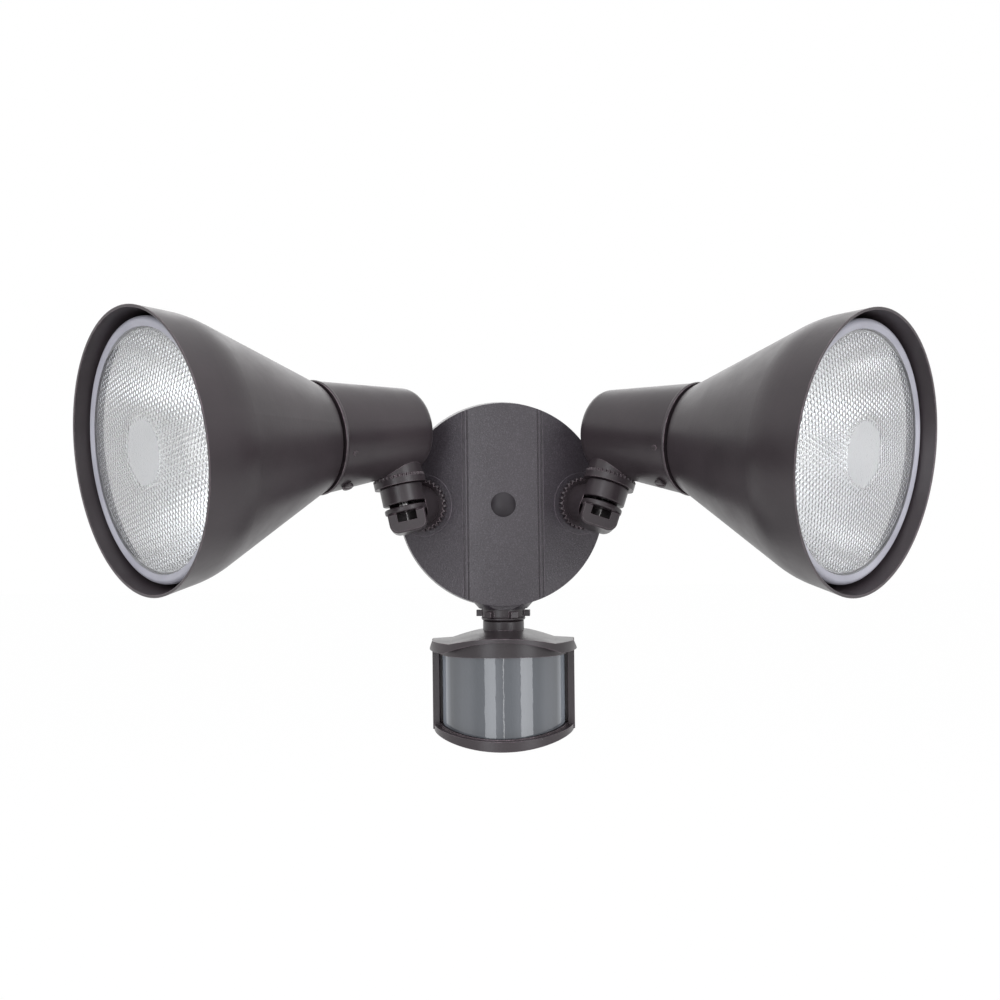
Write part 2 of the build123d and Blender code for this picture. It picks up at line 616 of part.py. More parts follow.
def lock_ring(name):
    """Ring under the lampholder's boss, with fine teeth along its top edge."""
    tooth_base = LOCK_RING_TOP - LOCK_RING_TOOTH_HEIGHT
    ring = tube_z(LOCK_RING_RADIUS, LOCK_RING_BOTTOM, tooth_base)
    root = LOCK_RING_RADIUS - LOCK_RING_TOOTH_DEPTH
    teeth = toothed_disc(LOCK_RING_RADIUS, root, LOCK_RING_TEETH, LOCK_RING_TOOTH_HEIGHT)
    ring += Pos(0, 0, tooth_base) * teeth
    ring -= tube_z(SPIGOT_RADIUS + SEAT_GAP, LOCK_RING_BOTTOM - OVERRUN, LOCK_RING_TOP + OVERRUN)
    return knuckle_location(name) * Rot(0, 0, SIDES[name] * LAMP_TURN[name]) * ring


def holder_radius(x):
    """Outside radius of the lampholder's taper."""
    share = (x + HOLDER_BACK) / (HOLDER_FRONT + HOLDER_BACK)
    return HOLDER_REAR_RADIUS + (HOLDER_FRONT_RADIUS - HOLDER_REAR_RADIUS) * share


def lampholder_body():
    """Tapered housing with a rounded rear edge and a rolled bead round its mouth."""
    body = turned_x((-HOLDER_BACK, 0), (-HOLDER_BACK, HOLDER_REAR_RADIUS), (HOLDER_FRONT, HOLDER_FRONT_RADIUS),
                    (HOLDER_FRONT, 0))
    body = fillet(body.edges().filter_by(GeomType.CIRCLE).sort_by(Axis.X)[0], HOLDER_REAR_ROUND)
    bead = Torus(HOLDER_FRONT_RADIUS + BEAD_RISE - BEAD_RADIUS, BEAD_RADIUS)
    return body + Pos(HOLDER_FRONT - BEAD_RADIUS, 0, 0) * Rot(0, 90, 0) * bead


def lampholder_cavity():
    """Space for the socket behind and the shade's neck in front."""
    rear_bore = holder_radius(CAVITY_BACK) - HOLDER_WALL
    front_bore = holder_radius(SHADE_SEAT_START) - HOLDER_WALL
    seat_bore = SHADE_NECK_RADIUS + SEAT_GAP
    mouth = HOLDER_FRONT + OVERRUN
    return turned_x((CAVITY_BACK, 0), (CAVITY_BACK, rear_bore), (SHADE_SEAT_START, front_bore),
                    (SHADE_SEAT_START, seat_bore), (mouth, seat_bore), (mouth, 0))


def lampholder_floor_opening():
    """Wire way through the boss's floor, on both sides of the bridge that the clamp screw pulls on."""
    bottom = LOCK_RING_TOP - LAMP_HEIGHT
    bridge = block((-BRIDGE_HALF_WIDTH, BRIDGE_HALF_WIDTH), (-BOSS_RADIUS, BOSS_RADIUS),
                   (bottom, bottom + BOSS_FLOOR))
    return tube_z(EAR_BORE_RADIUS, bottom, bottom + BOSS_FLOOR) - bridge


def lampholder(name):
    """Cast housing of one lamp with the boss that sits on the knuckle."""
    knuckle = -LAMP_HEIGHT
    boss_bottom = knuckle + LOCK_RING_TOP
    floor_top = boss_bottom + BOSS_FLOOR
    body = lampholder_body() + tube_z(BOSS_RADIUS, boss_bottom, 0)
    body -= tube_z(LOCK_RING_RADIUS + MOVING_GAP, knuckle, boss_bottom)
    body -= lampholder_cavity()
    body += tube_z(BOSS_RADIUS, boss_bottom, floor_top)
    body -= tube_z(BOSS_BORE_RADIUS, floor_top, 0)
    body += tube_z(SPIGOT_RADIUS, knuckle + LOCK_RING_BOTTOM, boss_bottom)
    body -= tube_z(EAR_BORE_RADIUS, knuckle, boss_bottom)
    body -= lampholder_floor_opening()
    body -= tube_z(CLAMP_SCREW_RADIUS + MOVING_GAP, knuckle, floor_top + OVERRUN)
    for angle in SHADE_SCREW_ANGLES:
        hole = tube_z(SHADE_SCREW_RADIUS + SEAT_GAP, 0, HOLDER_FRONT_RADIUS + OVERRUN)
        body -= shade_screw_place(name, angle) * hole
    rivet_x = HOLDER_FRONT - RIVET_INSET
    surface = holder_radius(rivet_x)
    rivet = tube_z(RIVET_RADIUS, surface - OVERRUN, surface + RIVET_HEIGHT)
    body += Pos(rivet_x, 0, 0) * around_lamp(name, RIVET_ANGLE) * rivet
    return lamp_location(name) * body


def around_lamp(name, angle):
    """Turns up to a direction round the lamp, in degrees down from the viewer's side."""
    return Rot(SIDES[name] * (90 + angle), 0, 0)


def shade_screw_place(name, angle):
    """Frame of one shade screw: Z points out of the housing's mouth."""
    return Pos(HOLDER_FRONT - SHADE_SCREW_INSET, 0, 0) * around_lamp(name, angle) * Rot(0, 0, 90)


def shade():
    """Spun cone with a rounded bend, a steeper rim band and a neck that fits inside the housing's mouth."""
    start = HOLDER_FRONT + SHADE_GAP
    neck_start = SHADE_SEAT_START + MOVING_GAP
    bend_x = SHADE_RIM - SHADE_BAND_LENGTH
    bend_radius = SHADE_RIM_RADIUS - SHADE_BAND_FLARE
    slope = (bend_radius - SHADE_SMALL_RADIUS) / (bend_x - start)
    band_slope = SHADE_BAND_FLARE / SHADE_BAND_LENGTH
    cone_sheet = SHADE_SHEET * sqrt(1 + slope ** 2)
    band_sheet = SHADE_SHEET * sqrt(1 + band_slope ** 2)
    shift = (cone_sheet - band_sheet) / (slope - band_slope)
    inner_bend = (bend_x + shift, bend_radius + shift * band_slope - band_sheet)
    inner_start = start + SHADE_SHEET
    cone_inner = SHADE_SMALL_RADIUS + slope * SHADE_SHEET - cone_sheet
    inner_neck = SHADE_NECK_RADIUS - SHADE_SHEET
    sheet = make_face(Polyline((neck_start, SHADE_NECK_RADIUS), (start, SHADE_NECK_RADIUS),
                               (start, SHADE_SMALL_RADIUS), (bend_x, bend_radius),
                               (SHADE_RIM, SHADE_RIM_RADIUS), (SHADE_RIM, SHADE_RIM_RADIUS - band_sheet),
                               inner_bend, (inner_start, cone_inner), (inner_start, inner_neck),
                               (neck_start, inner_neck), close=True))
    bends = (((bend_x, bend_radius), SHADE_BEND_RADIUS), (inner_bend, SHADE_BEND_RADIUS - SHADE_SHEET))
    for corner, radius in bends:
        sheet = fillet(sheet.vertices().sort_by_distance(corner)[0], radius)
    return revolve(sheet, Axis.X)


def shade_with_holes(name):
    """Shade on its lamp with the holes of its screws."""
    body = shade()
    for angle in SHADE_SCREW_ANGLES:
        body -= shade_screw_place(name, angle) * tube_z(SHADE_SCREW_RADIUS + SEAT_GAP, 0, HOLDER_FRONT_RADIUS)
    return lamp_location(name) * body


def shade_screws(name):
    """Small screws that hold the shade's neck in the housing."""
    screws = []
    seat = holder_radius(HOLDER_FRONT - SHADE_SCREW_INSET + SHADE_SCREW_HEAD_RADIUS) + SEAT_GAP
    top = seat + SHADE_SCREW_HEAD_HEIGHT
    tip = SHADE_NECK_RADIUS - SHADE_SHEET - SHADE_SCREW_STICK_OUT
    half_slot = SHADE_SCREW_SLOT_WIDTH / 2
    for angle in SHADE_SCREW_ANGLES:
        screw = tube_z(SHADE_SCREW_RADIUS, tip, seat)
        head = tube_z(SHADE_SCREW_HEAD_RADIUS, seat, top)
        head = fillet(head.edges().filter_by(GeomType.CIRCLE).sort_by(Axis.Z)[-1], SHADE_SCREW_ROUND)
        slot = block((-half_slot, half_slot), (-SHADE_SCREW_HEAD_RADIUS, SHADE_SCREW_HEAD_RADIUS),
                     (top - SHADE_SCREW_SLOT_DEPTH, top + OVERRUN))
        screws.append(lamp_location(name) * shade_screw_place(name, angle) * (screw + head - slot))
    return screws


def socket():
    """Porcelain body, open in front for the bulb's base."""
    body = tube_x(SOCKET_RADIUS, CAVITY_BACK, SOCKET_FRONT)
    body = chamfer(body.edges().filter_by(GeomType.CIRCLE), SOCKET_EDGE)
    return body - tube_x(SOCKET_BORE_RADIUS, CAVITY_BACK + SOCKET_FLOOR, SOCKET_FRONT + OVERRUN)


def wavy_ring(crest, inner, start, turns):
    """Ring along X whose outside has rounded thread crests."""
    edges = []
    x = start
    trough = crest - THREAD_WAVE
    for _ in range(turns):
        arc = ThreePointArc((x, trough), (x + THREAD_PITCH / 2, crest), (x + THREAD_PITCH, trough))
        edges.append(arc.edge())
        x += THREAD_PITCH
    rest = Polyline((x, trough), (x, inner), (start, inner), (start, trough))
    return turned_wire_x(edges + rest.edges())


def screw_shell():
    """Thin threaded brass sleeve inside the socket."""
    start = CAVITY_BACK + SOCKET_FLOOR + CONTACT_THICKNESS + SHELL_FROM_CONTACT
    inner = SHELL_RADIUS - THREAD_WAVE - SHELL_SHEET
    return wavy_ring(SHELL_RADIUS, inner, start, THREAD_TURNS)


def centre_contact():
    """Spring contact on the socket's floor that meets the bulb's tip."""
    floor = CAVITY_BACK + SOCKET_FLOOR
    spring = tube_x(CONTACT_RADIUS, floor, floor + CONTACT_THICKNESS)
    return spring + tube_x(CONTACT_RADIUS / 2, floor, floor + CONTACT_HEIGHT)


def lamp_gasket():
    """Rubber ring between the socket's front, the housing and the bulb's neck."""
    outer = holder_radius(SOCKET_FRONT) - HOLDER_WALL - SEAT_GAP
    inner = BULB_NECK_REAR_RADIUS + LAMP_GASKET_LIP
    return tube_x(outer, SOCKET_FRONT, SOCKET_FRONT + LAMP_GASKET_LENGTH, inner)


def dish_radius(x, inset):
    """Reflector's radius at x: a parabola from the neck to the rim, moved in by inset."""
    share = (x - DISH_BACK) / BULB_DISH_LENGTH
    square = BULB_DISH_NECK_RADIUS ** 2 + share * (BULB_DISH_RADIUS ** 2 - BULB_DISH_NECK_RADIUS ** 2)
    return sqrt(square) - inset


def bulb_reflector():
    """Pressed glass back of the bulb, with its tapered neck and polished dish."""
    neck_front = DISH_BACK - BULB_NECK_LENGTHS[0]
    neck_rear = neck_front - BULB_NECK_LENGTHS[1]
    steps = [DISH_BACK + BULB_DISH_LENGTH * i / DISH_STEPS for i in range(DISH_STEPS + 1)]
    outer_curve = Spline(*[(x, dish_radius(x, 0)) for x in steps])
    outside = Polyline((BASE_END, 0), (BASE_END, BULB_BASE_RADIUS), (neck_rear, BULB_NECK_REAR_RADIUS),
                       (neck_front, BULB_NECK_FRONT_RADIUS), (DISH_BACK, BULB_DISH_NECK_RADIUS))
    front = Polyline((BULB_JOINT, BULB_DISH_RADIUS), (BULB_JOINT, 0), (BASE_END, 0))
    body = turned_wire_x(outside.edges() + outer_curve.edges() + front.edges())
    inner_curve = Spline(*[(x, dish_radius(x, BULB_GLASS)) for x in steps])
    bowl = ThreePointArc((BULB_VERTEX, 0), (BULB_VERTEX + BULB_GLASS, BULB_DISH_NECK_RADIUS / 2),
                         (DISH_BACK, BULB_DISH_NECK_RADIUS - BULB_GLASS))
    close = Polyline((BULB_JOINT, BULB_DISH_RADIUS - BULB_GLASS), (BULB_JOINT, 0), (BULB_VERTEX, 0))
    return body - turned_wire_x(bowl.edges() + inner_curve.edges() + close.edges())


def cap_arc(edge_x, edge_radius, crown_x):
    """Arc of a spherical face from its edge to its crown on the axis."""
    rise = crown_x - edge_x
    sphere = (edge_radius ** 2 + rise ** 2) / (2 * rise)
    half = edge_radius / 2
    middle_x = crown_x - sphere + sqrt(sphere ** 2 - half ** 2)
    return ThreePointArc((edge_x, edge_radius), (middle_x, half), (crown_x, 0))


def bulb_lens():
    """Front glass: a smooth thick rim round a gently crowned lens."""
    lens_radius = BULB_RADIUS - BULB_RIM_FACE
    front_edge = BULB_RIM - BULB_RIM_STEP
    crown_x = BULB_RIM + BULB_CROWN
    round_in = BULB_RIM_FACE / 2
    rim = ThreePointArc((BULB_RIM - round_in, BULB_RADIUS), (BULB_RIM, BULB_RADIUS - round_in),
                        (front_edge, lens_radius))
    crown = cap_arc(front_edge, lens_radius, crown_x)
    axis = Line((crown_x, 0), (crown_x - BULB_LENS_GLASS, 0))
    back = cap_arc(front_edge - BULB_LENS_GLASS, lens_radius, crown_x - BULB_LENS_GLASS)
    side = Polyline((front_edge - BULB_LENS_GLASS, lens_radius), (BULB_JOINT, BULB_DISH_RADIUS - BULB_GLASS),
                    (BULB_JOINT, BULB_RADIUS), (BULB_RIM - round_in, BULB_RADIUS))
    return turned_wire_x(rim.edges() + crown.edges() + axis.edges() + back.edges() + side.edges())


def bulb_capsule():
    """Small inner lamp that stands in the reflector's vertex."""
    body = tube_x(CAPSULE_RADIUS, BULB_VERTEX + BULB_GLASS, BULB_VERTEX + CAPSULE_LENGTH)
    body = fillet(body.edges().filter_by(GeomType.CIRCLE).sort_by(Axis.X)[-1], CAPSULE_ROUND)
    return body + tube_x(CAPSULE_RADIUS / 2, BULB_VERTEX + SEAT_GAP, BULB_VERTEX + BULB_GLASS)


def bulb_base():
    """Threaded brass cap of the bulb."""
    turns = int(BULB_BASE_LENGTH / THREAD_PITCH)
    bore = BULB_BASE_RADIUS - BULB_BASE_SHEET
    plain_start = BASE_START + turns * THREAD_PITCH - BULB_BASE_SHEET / 2
    plain = tube_x(BULB_BASE_RADIUS - THREAD_WAVE, plain_start, BASE_END, bore)
    return wavy_ring(BULB_BASE_RADIUS, bore, BASE_START, turns) + plain


def bulb_contact():
    """Insulating cone and metal tip at the back of the bulb's base."""
    tip_end = BULB_TIP + BULB_TIP_LENGTH
    return turned_x((BULB_TIP, 0), (BULB_TIP, BULB_TIP_RADIUS - BULB_TIP_BEVEL), (tip_end, BULB_TIP_RADIUS),
                    (BASE_START, BULB_BASE_RADIUS - THREAD_WAVE), (BASE_START, 0))


def on_stem(shape):
    """Moves a piece from the Z axis to the sensor stem's axis."""
    return Pos(0, SENSOR_Y, 0) * shape


def sensor_place(shape):
    """Puts a piece of the sensor head on its stem, turned to where it is aimed."""
    return Pos(0, SENSOR_Y, HEAD_Z) * Rot(0, 0, -SENSOR_PAN) * Pos(0, -SENSOR_Y, 0) * shape


def sensor_locknut():
    """Lugged nut on the sensor's stem under the canopy."""
    ring = tube_z(SENSOR_NUT_RADIUS, SENSOR_NUT_BOTTOM, HUB_BOTTOM)
    for lug in range(SENSOR_LUGS):
        tab = block((0, SENSOR_LUG_RADIUS), (-SENSOR_LUG_WIDTH / 2, SENSOR_LUG_WIDTH / 2),
                    (SENSOR_NUT_BOTTOM, HUB_BOTTOM - SENSOR_LUG_STEP))
        ring += Rot(0, 0, SENSOR_LUG_START + lug * 360 / SENSOR_LUGS) * tab
    ring -= tube_z(SENSOR_THREAD_RADIUS + SEAT_GAP, SENSOR_NUT_BOTTOM - OVERRUN, HUB_BOTTOM + OVERRUN)
    return on_stem(ring)


def sensor_stem():
    """Hollow threaded stem, its round shoulder and the spindle that the head turns on."""
    body = tube_z(SENSOR_THREAD_RADIUS, SENSOR_NUT_BOTTOM, SENSOR_THREAD_TOP)
    shoulder = tube_z(SHOULDER_RADIUS, SHOULDER_BOTTOM, SENSOR_NUT_BOTTOM)
    body += fillet(shoulder.edges().filter_by(GeomType.CIRCLE), SHOULDER_ROUND)
    body += tube_z(SPINDLE_RADIUS, SPINDLE_BOTTOM, SHOULDER_BOTTOM)
    body -= tube_z(SPINDLE_BORE_RADIUS, SPINDLE_BOTTOM - OVERRUN, SENSOR_THREAD_TOP + OVERRUN)
    body -= tube_z(2 * SPINDLE_RADIUS, CLIP_BOTTOM - SEAT_GAP / 2, CLIP_TOP + SEAT_GAP / 2,
                   SPINDLE_RADIUS - CLIP_GROOVE_DEPTH)
    return on_stem(body)


def stem_clip():
    """Open ring in the spindle's groove that holds the head up."""
    ring = tube_z(CLIP_RADIUS, CLIP_BOTTOM, CLIP_TOP, SPINDLE_RADIUS - CLIP_GROOVE_DEPTH + SEAT_GAP / 2)
    opening = block((-CLIP_OPENING / 2, CLIP_OPENING / 2), (0, 2 * CLIP_RADIUS), (CLIP_BOTTOM, CLIP_TOP))
    return on_stem(ring - opening)


def plan_prism(radius, half, inset, low, high):
    """Head's plan, a rounded front and a slim back, as a prism; inset moves the back and flanks in."""
    flank = FLANK_HALF_WIDTH - inset
    rear = REAR_HALF_WIDTH - inset
    back = make_face(Polyline((-half, EAR_FRONT_Y), (half, EAR_FRONT_Y), (half, ARC_CENTRE_Y - inset),
                              (flank, FLANK_Y - inset), (rear, REAR_Y - inset), (-rear, REAR_Y - inset),
                              (-flank, FLANK_Y - inset), (-half, ARC_CENTRE_Y - inset), close=True))
    prism = extrude(Pos(0, 0, low) * back, high - low, dir=(0, 0, 1))
    front = Pos(0, ARC_CENTRE_Y, 0) * tube_z(radius, low, high)
    return prism + (front & block((-half, half), (ARC_CENTRE_Y - radius, EAR_FRONT_Y + OVERRUN), (low, high)))


def front_view_prism(outline):
    """Prism along Y of a face drawn in (x, z)."""
    return extrude(Rot(90, 0, 0) * outline, FAR, dir=(0, -1, 0))


def head_outline(inset):
    """Front view of the whole head inside its hood: arched top and rounded bottom."""
    half = HEAD_HALF_WIDTH - inset
    shoulder = HOOD_SHOULDER - inset
    low = HEAD_BOTTOM_SIDE + inset
    arch = ThreePointArc((-HOOD_SHOULDER_X, shoulder), (0, HEAD_TOP - inset), (HOOD_SHOULDER_X, shoulder))
    right = Polyline((HOOD_SHOULDER_X, shoulder), (half, shoulder), (half, low))
    bottom = ThreePointArc((half, low), (0, HEAD_BOTTOM + inset), (-half, low))
    left = Polyline((-half, low), (-half, shoulder), (-HOOD_SHOULDER_X, shoulder))
    return make_face(arch.edges() + right.edges() + bottom.edges() + left.edges())


def lens_outline(half, grow):
    """Front view of the lens or its window, of a given half width and higher by grow at each end."""
    high = LENS_TOP_SIDE + grow
    low = LENS_BOTTOM_SIDE - grow
    top = ThreePointArc((-half, high), (0, LENS_TOP_CENTRE + grow), (half, high))
    bottom = ThreePointArc((-half, low), (0, LENS_BOTTOM_CENTRE - grow), (half, low))
    sides = [Line((x, low), (x, high)).edge() for x in (-half, half)]
    return make_face(top.edges() + bottom.edges() + sides)


def front_half_disc(radius, low, high):
    """Upright half disc in front of the head's arc centre."""
    disc = Pos(0, ARC_CENTRE_Y, 0) * tube_z(radius, low, high)
    return disc & block((-radius, radius), (ARC_CENTRE_Y - radius, ARC_CENTRE_Y), (low, high))


def hood():
    """Arched visor that overhangs the lens and runs out to the head's corners."""
    side = HOOD_RADIUS
    corner = HEAD_HALF_WIDTH - HOOD_CORNER
    lip_x = LENS_RADIUS - HOOD_LENS_OVERLAP
    top = Polyline((-side, HOOD_SIDE), (-corner, HOOD_SHOULDER), (-HOOD_SHOULDER_X, HOOD_SHOULDER))
    arch = ThreePointArc((-HOOD_SHOULDER_X, HOOD_SHOULDER), (0, HEAD_TOP), (HOOD_SHOULDER_X, HOOD_SHOULDER))
    right = Polyline((HOOD_SHOULDER_X, HOOD_SHOULDER), (corner, HOOD_SHOULDER), (side, HOOD_SIDE),
                     (lip_x, HOOD_SIDE))
    lip = ThreePointArc((lip_x, HOOD_SIDE), (0, HOOD_LIP), (-lip_x, HOOD_SIDE))
    left = Line((-lip_x, HOOD_SIDE), (-side, HOOD_SIDE))
    outline = make_face(top.edges() + arch.edges() + right.edges() + lip.edges() + left.edges())
    return front_view_prism(outline) & front_half_disc(HOOD_RADIUS, HEAD_BOTTOM, HEAD_TOP + OVERRUN)


def chin():
    """Rounded lip under the lens."""
    half = CHIN_RADIUS + OVERRUN
    side_top = LENS_BOTTOM_SIDE - CHIN_LIP
    top = ThreePointArc((-half, side_top), (0, LENS_BOTTOM_CENTRE - CHIN_LIP), (half, side_top))
    bottom = ThreePointArc((-half, HEAD_BOTTOM_SIDE), (0, HEAD_BOTTOM), (half, HEAD_BOTTOM_SIDE))
    ends = [Line((x, HEAD_BOTTOM_SIDE), (x, side_top)).edge() for x in (-half, half)]
    band = front_half_disc(CHIN_RADIUS, HEAD_BOTTOM, LENS_BOTTOM_SIDE)
    return band & front_view_prism(make_face(top.edges() + bottom.edges() + ends))


def head_shell():
    """Outside and inside shapes of the whole head, before it is split into case and back."""
    low = HEAD_BOTTOM - OVERRUN
    outer = plan_prism(BROW_RADIUS, HEAD_HALF_WIDTH, 0, low, HEAD_TOP + OVERRUN)
    outer &= front_view_prism(head_outline(0))
    inner = plan_prism(LENS_RADIUS - LENS_SHEET - MOVING_GAP, EAR_INSIDE, HEAD_WALL, low, HEAD_TOP)
    inner &= front_view_prism(head_outline(HEAD_WALL))
    return outer, inner


def back_zone(gap):
    """Space of the rear cover, smaller by gap all round."""
    return block((-HEAD_HALF_WIDTH, HEAD_HALF_WIDTH), (HEAD_SPLIT_Y + gap, REAR_Y + OVERRUN),
                 (BACK_BOTTOM + gap, BACK_TOP - gap))


def turning_collar():
    """Collar of the head round its stem."""
    collar = tube_z(COLLAR_RADIUS, HOOD_SHOULDER, COLLAR_HEIGHT)
    return on_stem(fillet(collar.edges().filter_by(GeomType.CIRCLE).sort_by(Axis.Z)[-1], COLLAR_ROUND))


def control_well(wall, low, high):
    """Block over the two controls, larger than their well by a wall."""
    half = CONTROL_WELL[0] / 2 + wall
    depth = CONTROL_WELL[1] / 2 + wall
    return block((-half, half), (CONTROL_Y - depth, CONTROL_Y + depth), (low, high))


def control_holes():
    """Round hole of the knob's shaft and slot of the switch's stem."""
    high = CONTROL_FLOOR + CONTROL_WELL_FLOOR + OVERRUN
    half = SWITCH_STEM_WIDTH / 2 + MOVING_GAP
    slot = block((SWITCH_X - half, SWITCH_X + SWITCH_TRAVEL + half), (CONTROL_Y - half, CONTROL_Y + half),
                 (HEAD_BOTTOM, high))
    return Pos(KNOB_X, CONTROL_Y, 0) * tube_z(KNOB_SHAFT_RADIUS + MOVING_GAP, HEAD_BOTTOM, high) + slot


def sensor_case():
    """Front shell of the sensor with hood, side ears, chin and the collar round its stem."""
    outer, inner = head_shell()
    body = outer + hood() + chin() + on_stem(tube_z(SOCKET_BOSS_RADIUS, BACK_TOP, HOOD_SHOULDER))
    body -= inner - on_stem(tube_z(SOCKET_BOSS_RADIUS, SOCKET_BOSS_BOTTOM, HOOD_SHOULDER))
    body += turning_collar()
    body -= on_stem(tube_z(SPINDLE_RADIUS + THREAD_GAP, SOCKET_BOSS_BOTTOM - OVERRUN, COLLAR_HEIGHT + OVERRUN))
    body -= on_stem(tube_z(CLIP_RADIUS + MOVING_GAP, SPINDLE_BOTTOM - HEAD_Z - OVERRUN, SOCKET_BOSS_BOTTOM))
    windows = ((LENS_RADIUS + SEAT_GAP, WINDOW_BEHIND_AXIS), (EAR_INSIDE, 0))
    for half, behind_axis in windows:
        front = block((-half, half), (-FAR, ARC_CENTRE_Y + behind_axis), (HEAD_BOTTOM, HEAD_TOP))
        body -= front_view_prism(lens_outline(half, SEAT_GAP)) & front
    body -= back_zone(0)
    body -= control_well(0, HEAD_BOTTOM - OVERRUN, CONTROL_FLOOR)
    body += control_well(CONTROL_WELL_WALL, CONTROL_FLOOR, CONTROL_FLOOR + CONTROL_WELL_FLOOR) & inner
    body -= control_holes()
    return sensor_place(body)


def case_screw_points():
    """Places of the rear cover's four screws and posts, as (x, z)."""
    return [(x, z) for x in (-POST_X, POST_X) for z in (BACK_BOTTOM + POST_INSET, BACK_TOP - POST_INSET)]


def sensor_back():
    """Rear cover of the sensor with the posts that carry the circuit board."""
    outer, inner = head_shell()
    body = (outer - inner) & back_zone(SEAT_GAP)
    for x, z in case_screw_points():
        post = tube_y(POST_RADIUS, BOARD_Y + SEAT_GAP / 2, REAR_Y - HEAD_WALL / 2)
        body += Pos(x, 0, z) * post
        depth = CASE_SCREW_LENGTH + CASE_SCREW_TIP_SPACE
        body -= Pos(x, 0, z) * tube_y(CASE_SCREW_RADIUS + SEAT_GAP, REAR_Y - depth, REAR_Y + OVERRUN)
    return sensor_place(body)


def sensor_screws():
    """Cross-slotted screws of the rear cover."""
    length, width, depth = CASE_SCREW_CROSS
    head_end = REAR_Y + CASE_SCREW_HEAD_HEIGHT
    screw = tube_y(CASE_SCREW_RADIUS, REAR_Y - CASE_SCREW_LENGTH, REAR_Y)
    screw += tube_y(CASE_SCREW_HEAD_RADIUS, REAR_Y, head_end)
    depths = (head_end - depth, head_end + OVERRUN)
    for across, along in ((width, length), (length, width)):
        screw -= block((-across / 2, across / 2), depths, (-along / 2, along / 2))
    return [sensor_place(Pos(x, 0, z) * screw) for x, z in case_screw_points()]


def sensor_lens():
    """Smoked half-round lens."""
    ring = Pos(0, ARC_CENTRE_Y, 0) * tube_z(LENS_RADIUS, HEAD_BOTTOM, HEAD_TOP, LENS_RADIUS - LENS_SHEET)
    back = ARC_CENTRE_Y + LENS_BEHIND_AXIS
    front = block((-LENS_RADIUS, LENS_RADIUS), (-FAR, back), (HEAD_BOTTOM, HEAD_TOP))
    return sensor_place(ring & front_view_prism(lens_outline(LENS_RADIUS, 0)) & front)


def circuit_board():
    """Board on the rear cover's posts."""
    return sensor_place(block((-BOARD_HALF_WIDTH, BOARD_HALF_WIDTH), (BOARD_FRONT, BOARD_Y),
                              (BOARD_BOTTOM, BOARD_TOP)))


def heat_detector():
    """Metal can on the board with a window towards the lens."""
    width, depth, height = DETECTOR_WINDOW
    front = BOARD_FRONT - DETECTOR_HEIGHT
    window = block((-width / 2, width / 2), (front - OVERRUN, front + depth), (-height / 2, height / 2))
    can = tube_y(DETECTOR_RADIUS, front, BOARD_FRONT) - window
    return sensor_place(Pos(0, 0, DETECTOR_Z) * can)


def light_cell():
    """Round cell that senses daylight."""
    cell = tube_y(LIGHT_CELL_RADIUS, BOARD_FRONT - LIGHT_CELL_HEIGHT, BOARD_FRONT)
    return sensor_place(Pos(LIGHT_CELL_X, 0, LIGHT_CELL_Z) * cell)


def relay():
    """Box of the relay that switches the lamps."""
    width, depth, height = RELAY_SIZE
    body = block((-width / 2, width / 2), (BOARD_FRONT - depth, BOARD_FRONT), (-height / 2, height / 2))
    return sensor_place(Pos(RELAY_X, 0, DETECTOR_Z) * body)


def capacitor():
    """Round capacitor near the board's top edge."""
    can = tube_y(CAPACITOR_RADIUS, BOARD_FRONT - CAPACITOR_HEIGHT, BOARD_FRONT)
    can = fillet(can.edges().filter_by(GeomType.CIRCLE).sort_by(Axis.Y)[0], CAPACITOR_ROUND)
    return sensor_place(Pos(CAPACITOR_X, 0, BOARD_TOP - CAPACITOR_INSET) * can)


def range_knob():
    """Round knob with a slot, on a short shaft through the case's underside."""
    low = CONTROL_TOP - KNOB_HEIGHT
    knob = tube_z(KNOB_RADIUS, low, CONTROL_TOP)
    knob -= block((-KNOB_RADIUS, KNOB_RADIUS), (-KNOB_SLOT_WIDTH / 2, KNOB_SLOT_WIDTH / 2),
                  (low - OVERRUN, low + KNOB_SLOT_DEPTH))
    knob += tube_z(KNOB_SHAFT_RADIUS, CONTROL_TOP, CONTROL_STEM_TOP)
    return sensor_place(Pos(KNOB_X, CONTROL_Y, 0) * knob)


def time_switch():
    """Slide switch button with its stem through the case's underside."""
    width, depth, height = SWITCH_SIZE
    button = block((-width / 2, width / 2), (-depth / 2, depth / 2), (CONTROL_TOP - height, CONTROL_TOP))
    button = fillet(button.edges().filter_by(Axis.Z), SWITCH_ROUND)
    half = SWITCH_STEM_WIDTH / 2
    button += block((-half, half), (-half, half), (CONTROL_TOP, CONTROL_STEM_TOP))
    return sensor_place(Pos(SWITCH_X, CONTROL_Y, 0) * button)


def lamp_pieces(name):
    """Every piece of one lamp with its arm, by node name."""
    place = lamp_location(name)
    return {
        "arm_locknut": arm_locknut(name),
        "arm": arm(name),
        "knuckle_cap": knuckle_cap(name),
        "clamp_nut": clamp_nut(name),
        "clamp_screw": clamp_screw(name),
        "lock_ring": lock_ring(name),
        "lampholder": lampholder(name),
        "socket": place * socket(),
        "screw_shell": place * screw_shell(),
        "centre_contact": place * centre_contact(),
        "lamp_gasket": place * lamp_gasket(),
        "shade": shade_with_holes(name),
        "shade_screws": shade_screws(name),
        "bulb_reflector": place * bulb_reflector(),
        "bulb_lens": place * bulb_lens(),
        "bulb_capsule": place * bulb_capsule(),
        "bulb_base": place * bulb_base(),
        "bulb_contact": place * bulb_contact(),
    }


